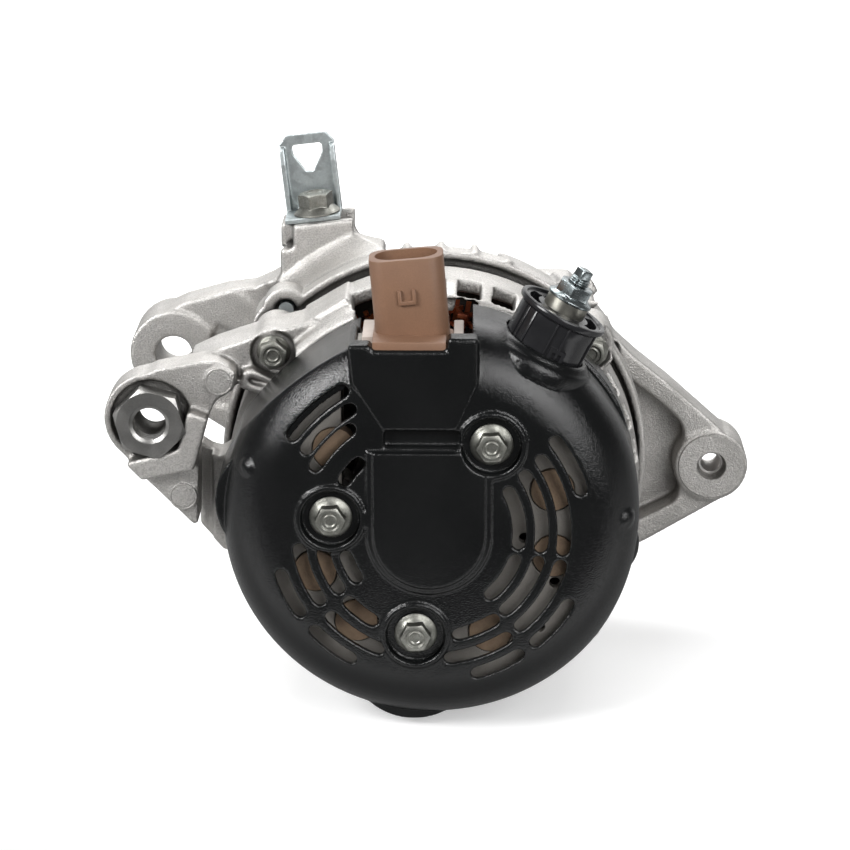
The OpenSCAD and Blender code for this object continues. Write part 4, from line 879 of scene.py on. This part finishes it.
bush = {"at": (-87, 24), "flats": 20, "rear": -116, "hex": 7.0, "sleeve": 8.08, "front": -96.1,
        "crest": 5.12, "root": 5.75, "pitch": 1.5, "spin": -15}


def threadCourse(crest, root, low, high, pitch):
    # zigzag outline of a thread, from low to high
    points = [(crest, low)]
    z = low + pitch * 0.4
    while z < high - pitch * 0.8:
        points += [(root, z), (crest, z + pitch * 0.45)]
        z += pitch
    return points + [(crest, high)]


def makeBush():
    depth = bush["rear"] - bush["front"]
    corner = bush["flats"] / 2 / math.cos(math.pi / 6)
    piece = hexPrism("mountBush", bush["flats"], -bush["hex"], 0.5)
    crest, root, sleeve, deep = bush["crest"], bush["root"], bush["sleeve"], -bush["hex"]
    limits = spunPiece("limits", [(crest + 0.1, deep + 0.01), (corner - 0.9, deep + 0.01),
                                  (corner + 1, deep + 1.1), (corner + 1, -1.5), (corner * 0.88, 0),
                                  (root + 0.5, 0), (crest + 0.1, -0.9)], 72)
    combine(piece, limits, "INTERSECT")
    course = threadCourse(crest, root, depth, -0.8, bush["pitch"])
    course += [(root + 0.4, -0.12), (sleeve - 0.5, -0.12), (sleeve, -0.5), (sleeve, depth)]
    piece = joinPieces([piece, spunPiece("sleeve", course, 72)], "mountBush")
    smoothEdges(piece, 32)
    x, z = bush["at"]
    place(piece, shaftFrame(x, bush["rear"], z, bush["spin"]))
    finishPiece(piece, "clamp_bush", "bushSteel", ("mount_bush",))


def makeLugFace():
    # raised seat round the thread of the adjusting lug
    x, z = lug["at"]
    piece = spunPiece("lugFace", lug["seat"], 96)
    smoothEdges(piece, 30)
    place(piece, shaftFrame(x, lug["face"], z))
    finishPiece(piece, "housing", "castAluminium")


def makeLugThread():
    x, z = lug["at"]
    course = threadCourse(lug["crest"], lug["root"], lug["rear"], lug["front"], lug["pitch"])
    piece = spunPiece("lugThread", course + lug["sleeve"], 48)
    smoothEdges(piece, 20)
    place(piece, shaftFrame(x, 0, z, rearward=False))
    finishPiece(piece, "housing", "machinedAluminium")


ejectorMarks = {"radius": 4.3, "proud": 0.28, "seat": -110.5, "places": [(-65.8, 36.2), (-77.6, -1.0)]}


def makeEjectorMarks():
    # round marks of the mould's ejector pins on the near arm
    radius, proud = ejectorMarks["radius"], ejectorMarks["proud"]
    course = [(0, -1), (radius, -1), (radius, proud - 0.12), (radius - 0.14, proud), (radius - 0.5, proud),
              (radius - 0.62, proud - 0.14), (radius - 0.8, proud - 0.1), (radius - 1.4, proud - 0.1),
              (0, proud - 0.1)]
    first = spunPiece("ejectorMark", course, 64, closed=False)
    marks = [first, duplicate(first, "ejectorMarkCopy")]
    for mark, (x, z) in zip(marks, ejectorMarks["places"]):
        place(mark, shaftFrame(x, ejectorMarks["seat"], z))
    piece = joinPieces(marks, "ejectorMarks")
    smoothEdges(piece, 30)
    finishPiece(piece, "housing", "castAluminium")


makeBush()
makeEjectorMarks()
makeLugFace()
makeLugThread()
print("bush and lug thread made")


diodePlate = {
    "ring": 37.9, "inner": 6.3, "outer": 6.85, "deep": 1.2, "angles": (18, -14, -62, -127, -158, 140),
    "proud": 0.5, "hole": (1.7, -4, 1),
    "holes": ((27.9, -3.6), (34.9, -5.9), (37.2, -17.8), (32.8, -32.2), (27.7, -36.2)),
}


def makeDiodePlate():
    # grooves round the pressed-in diodes, and small holes between them
    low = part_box("positive_diodes")[0]
    face = low.y / mm + diodePlate["proud"]
    piece = copyNode("positive_heat_sink", "positiveHeatSink")
    ring, deep = diodePlate["ring"], diodePlate["deep"]
    inner, outer = diodePlate["inner"], diodePlate["outer"]
    for angle in diodePlate["angles"]:
        groove = spunPiece("groove", [(inner, -deep), (outer, -deep), (outer, 1), (inner, 1)], 48)
        turn = math.radians(angle)
        place(groove, shaftFrame(ring * math.cos(turn), face, ring * math.sin(turn)))
        combine(piece, groove, "DIFFERENCE")
    for x, z in diodePlate["holes"]:
        hole = place(rodPiece("hole", *diodePlate["hole"], 32), shaftFrame(x, face, z))
        combine(piece, hole, "DIFFERENCE")
    smoothEdges(piece, 30)
    finishPiece(piece, "housing", "plateAluminium", ("positive_heat_sink",))


makeDiodePlate()
print("diode plate made")


brushSprings = {"travel": 4.0, "gap": 0.05,
                "rearBrushSpring": ("rear_brush_spring", "rear_brush_slide"),
                "frontBrushSpring": ("front_brush_spring", "front_brush_slide")}


def makeBrushSpring(name, node, joint):
    # a merged copy of the spring's CAD node, smooth shaded, riding the housing
    piece = copyNode(node, name)
    smoothEdges(piece, 65)
    finishPiece(piece, "housing", "bearingSteel", (node,))
    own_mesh(piece)


for springName in ("rearBrushSpring", "frontBrushSpring"):
    makeBrushSpring(springName, *brushSprings[springName])
print("brush springs made")


hairpins = {"count": 48, "rearCore": -85.5, "frontCore": -51.5, "reach": 10.6, "lean": 9,
            "rows": ((50.3, 1), (53.9, -1)), "thick": 1.5, "wide": 1.35, "slant": 5.6, "bend": 0.5,
            "barrel": [(49.4, 51.6), (56.4, 51.6), (56.4, 85.4), (49.4, 85.4)]}


def makeHairpin():
    # one copper loop end: two legs that slant towards each other and meet in a rounded crown, along +Z
    wide, thick, reach = hairpins["wide"] / 2, hairpins["thick"] / 2, hairpins["reach"]
    legs = []
    for side in (-1, 1):
        leg = boxPiece("leg", (-thick, -wide, -1.0), (thick, wide, reach - 1.2))
        editAll(leg)
        bpy.ops.mesh.subdivide(number_cuts=5)
        closeShell()
        for vertex in leg.data.vertices:
            lift = max(0.0, vertex.co.z / mm) / reach
            vertex.co.y += side * mm * hairpins["slant"] * (1 - lift) - side * mm * hairpins["bend"]
        legs.append(leg)
    crown = boxPiece("crown", (-thick, -wide - 0.9, reach - 2.4), (thick, wide + 0.9, reach))
    legs.append(crown)
    piece = joinPieces(legs, "hairpin")
    roundEdges(piece, 0.32, 2, 40)
    return piece


def makeWinding():
    first = makeHairpin()
    shells = []
    for row, (radius, slope) in enumerate(hairpins["rows"]):
        for index in range(hairpins["count"]):
            for end, level in ((1, hairpins["rearCore"]), (-1, hairpins["frontCore"])):
                copy = duplicate(first, "hairpinCopy")
                angle = (index + 0.5 * row) * 360 / hairpins["count"]
                spot = Matrix.Translation(Vector((radius, level, 0)) * mm)
                spot = Matrix.Rotation(math.radians(-angle), 4, "Y") @ spot
                turn = Matrix.Rotation(math.radians(hairpins["lean"] * slope * end), 4, "X")
                turn = Matrix.Rotation(math.radians(90 * end), 4, "X") @ turn
                shells.append(place(copy, spot @ turn))
    bpy.data.objects.remove(first, do_unlink=True)
    barrel = spunPiece("barrel", hairpins["barrel"], 96)
    shells.append(place(barrel, shaftFrame(0, 0, 0)))
    piece = joinPieces(shells, "statorWinding")
    smoothEdges(piece, 50)
    finishPiece(piece, "housing", "copperEnamel", ("stator_winding",))
    print("winding", len(piece.data.polygons), "faces")


makeWinding()


studio = {"eye": (0.01017, -0.96216, 0.29117), "azimuth": 0.85, "elevation": 17.5, "lens": 122.82,
          "sensor": 36, "clip": 50, "room": 0.11, "backdropFrom": 0.5, "backdropTo": 0.85}


def makeCamera():
    camera = bpy.data.objects.new("camera", bpy.data.cameras.new("camera"))
    bpy.context.collection.objects.link(camera)
    turn = math.radians(studio["azimuth"])
    lift = math.radians(studio["elevation"])
    back = Vector((math.sin(turn) * math.cos(lift), -math.cos(turn) * math.cos(lift), math.sin(lift)))
    right = Vector((math.cos(turn), math.sin(turn), 0))
    up = back.cross(right)
    basis = Matrix((right, up, back)).transposed()
    camera.matrix_world = Matrix.Translation(Vector(studio["eye"])) @ basis.to_4x4()
    camera.data.lens = studio["lens"]
    camera.data.sensor_width = studio["sensor"]
    camera.data.clip_end = studio["clip"]
    bpy.context.scene.camera = camera


lamps = {
    "leftBox": {"at": (-0.888, -0.825, 0.72), "size": (0.64, 0.46), "power": 18.0},
    "rightBox": {"at": (0.62, -1.08, 0.57), "size": (0.95, 0.85), "power": 13.0},
    "topBox": {"at": (0.0, 0.6, 1.1), "size": (1.5, 0.8), "power": 15.0},
}
lampAim = (0, -0.08, 0)


def makeLamp(name, lamp):
    light = bpy.data.lights.new(name, "AREA")
    light.shape = "RECTANGLE"
    light.size, light.size_y = lamp["size"]
    light.energy = lamp["power"]
    stand = bpy.data.objects.new(name, light)
    bpy.context.collection.objects.link(stand)
    stand.location = lamp["at"]
    aim = Vector(lampAim) - stand.location
    stand.rotation_euler = aim.to_track_quat("-Z", "Y").to_euler()


def makeWorld():
    # white backdrop behind the object, a dim room in front of it and beside it
    world = bpy.data.worlds.new("studioWorld")
    bpy.context.scene.world = world
    world.use_nodes = True
    tree = world.node_tree
    background = tree.nodes["Background"]
    background.inputs["Color"].default_value = (1, 1, 1, 1)
    parts = addNode(tree, "ShaderNodeSeparateXYZ", (-900, 200))
    coords = addNode(tree, "ShaderNodeTexCoord", (-1100, 200)).outputs["Generated"]
    tree.links.new(coords, parts.inputs[0])
    backdrop = spreadNode(tree, parts.outputs["Y"], studio["backdropFrom"], studio["backdropTo"], (-700, 200))
    room = mathNode(tree, "MULTIPLY", backdrop, 1.0 - studio["room"], (-500, 200))
    room = mathNode(tree, "ADD", room, studio["room"], (-350, 200))
    rays = addNode(tree, "ShaderNodeLightPath", (-900, 0)).outputs
    seen = mathNode(tree, "MAXIMUM", rays["Is Camera Ray"], rays["Is Transmission Ray"], (-600, 0))
    tree.links.new(mathNode(tree, "MAXIMUM", room, seen, (-150, 0)), background.inputs["Strength"])


stageFloor = {"size": 8.0, "front": -0.22, "drop": 0.4, "tone": 0.8, "mirroredTone": 0.24,
              "dimFrom": -0.185, "dimTo": -0.15, "glow": 0.4, "farFrom": 0.22, "farTo": 0.9,
              "farGlow": 0.55, "mirroredGlow": 0.08, "roughness": 0.9}


def makeFloor():
    # pale floor that brightens away from the object, and is dimmer where the object mirrors it
    look = stageFloor
    low = cadBounds[0]
    clearSelection()
    spot = (0, look["front"] + look["size"] / 2, low[2] - look["drop"] * mm)
    bpy.ops.mesh.primitive_plane_add(size=look["size"], location=spot)
    floor = takeNew("studioFloor")
    material = bpy.data.materials.new("paleFloor")
    material.use_nodes = True
    tree = material.node_tree
    shader = tree.nodes["Principled BSDF"]
    shader.inputs["Roughness"].default_value = look["roughness"]
    shader.inputs["Specular IOR Level"].default_value = 0.0
    glow = addNode(tree, "ShaderNodeEmission", (0, -300))
    rays = addNode(tree, "ShaderNodeLightPath", (-600, -300)).outputs
    parts = addNode(tree, "ShaderNodeSeparateXYZ", (-900, -500))
    coords = objectCoords(tree, (-1100, -500))
    tree.links.new(coords, parts.inputs[0])
    behind = spreadNode(tree, parts.outputs["Y"], look["dimFrom"], look["dimTo"], (-700, 200))
    dimmed = mathNode(tree, "MULTIPLY", behind, rays["Is Glossy Ray"], (-500, 200))
    seen, mirroredTone = (look["tone"],) * 3, (look["mirroredTone"],) * 3
    tree.links.new(mixColor(tree, dimmed, seen, mirroredTone, (-300, 200)), shader.inputs["Base Color"])
    reach = addNode(tree, "ShaderNodeVectorMath", (-900, -700), {"operation": "LENGTH"})
    tree.links.new(coords, reach.inputs[0])
    far = spreadNode(tree, reach.outputs["Value"], look["farFrom"], look["farTo"], (-700, -500))
    lift = mathNode(tree, "MULTIPLY", far, look["farGlow"], (-550, -500))
    lift = mathNode(tree, "ADD", lift, look["glow"], (-400, -500))
    shown = mathNode(tree, "MULTIPLY", rays["Is Camera Ray"], lift, (-300, -400))
    mirrored = mathNode(tree, "MULTIPLY", rays["Is Glossy Ray"], look["mirroredGlow"], (-300, -200))
    tree.links.new(mathNode(tree, "MAXIMUM", shown, mirrored, (-150, -300)), glow.inputs["Strength"])
    both = addNode(tree, "ShaderNodeAddShader", (300, 0))
    tree.links.new(shader.outputs[0], both.inputs[0])
    tree.links.new(glow.outputs[0], both.inputs[1])
    tree.links.new(both.outputs[0], tree.nodes["Material Output"].inputs["Surface"])
    floor.data.materials.append(material)


makeCamera()
for lampName, lamp in lamps.items():
    makeLamp(lampName, lamp)
makeWorld()
makeFloor()
bpy.context.scene.view_settings.view_transform = "Standard"
print("studio set")
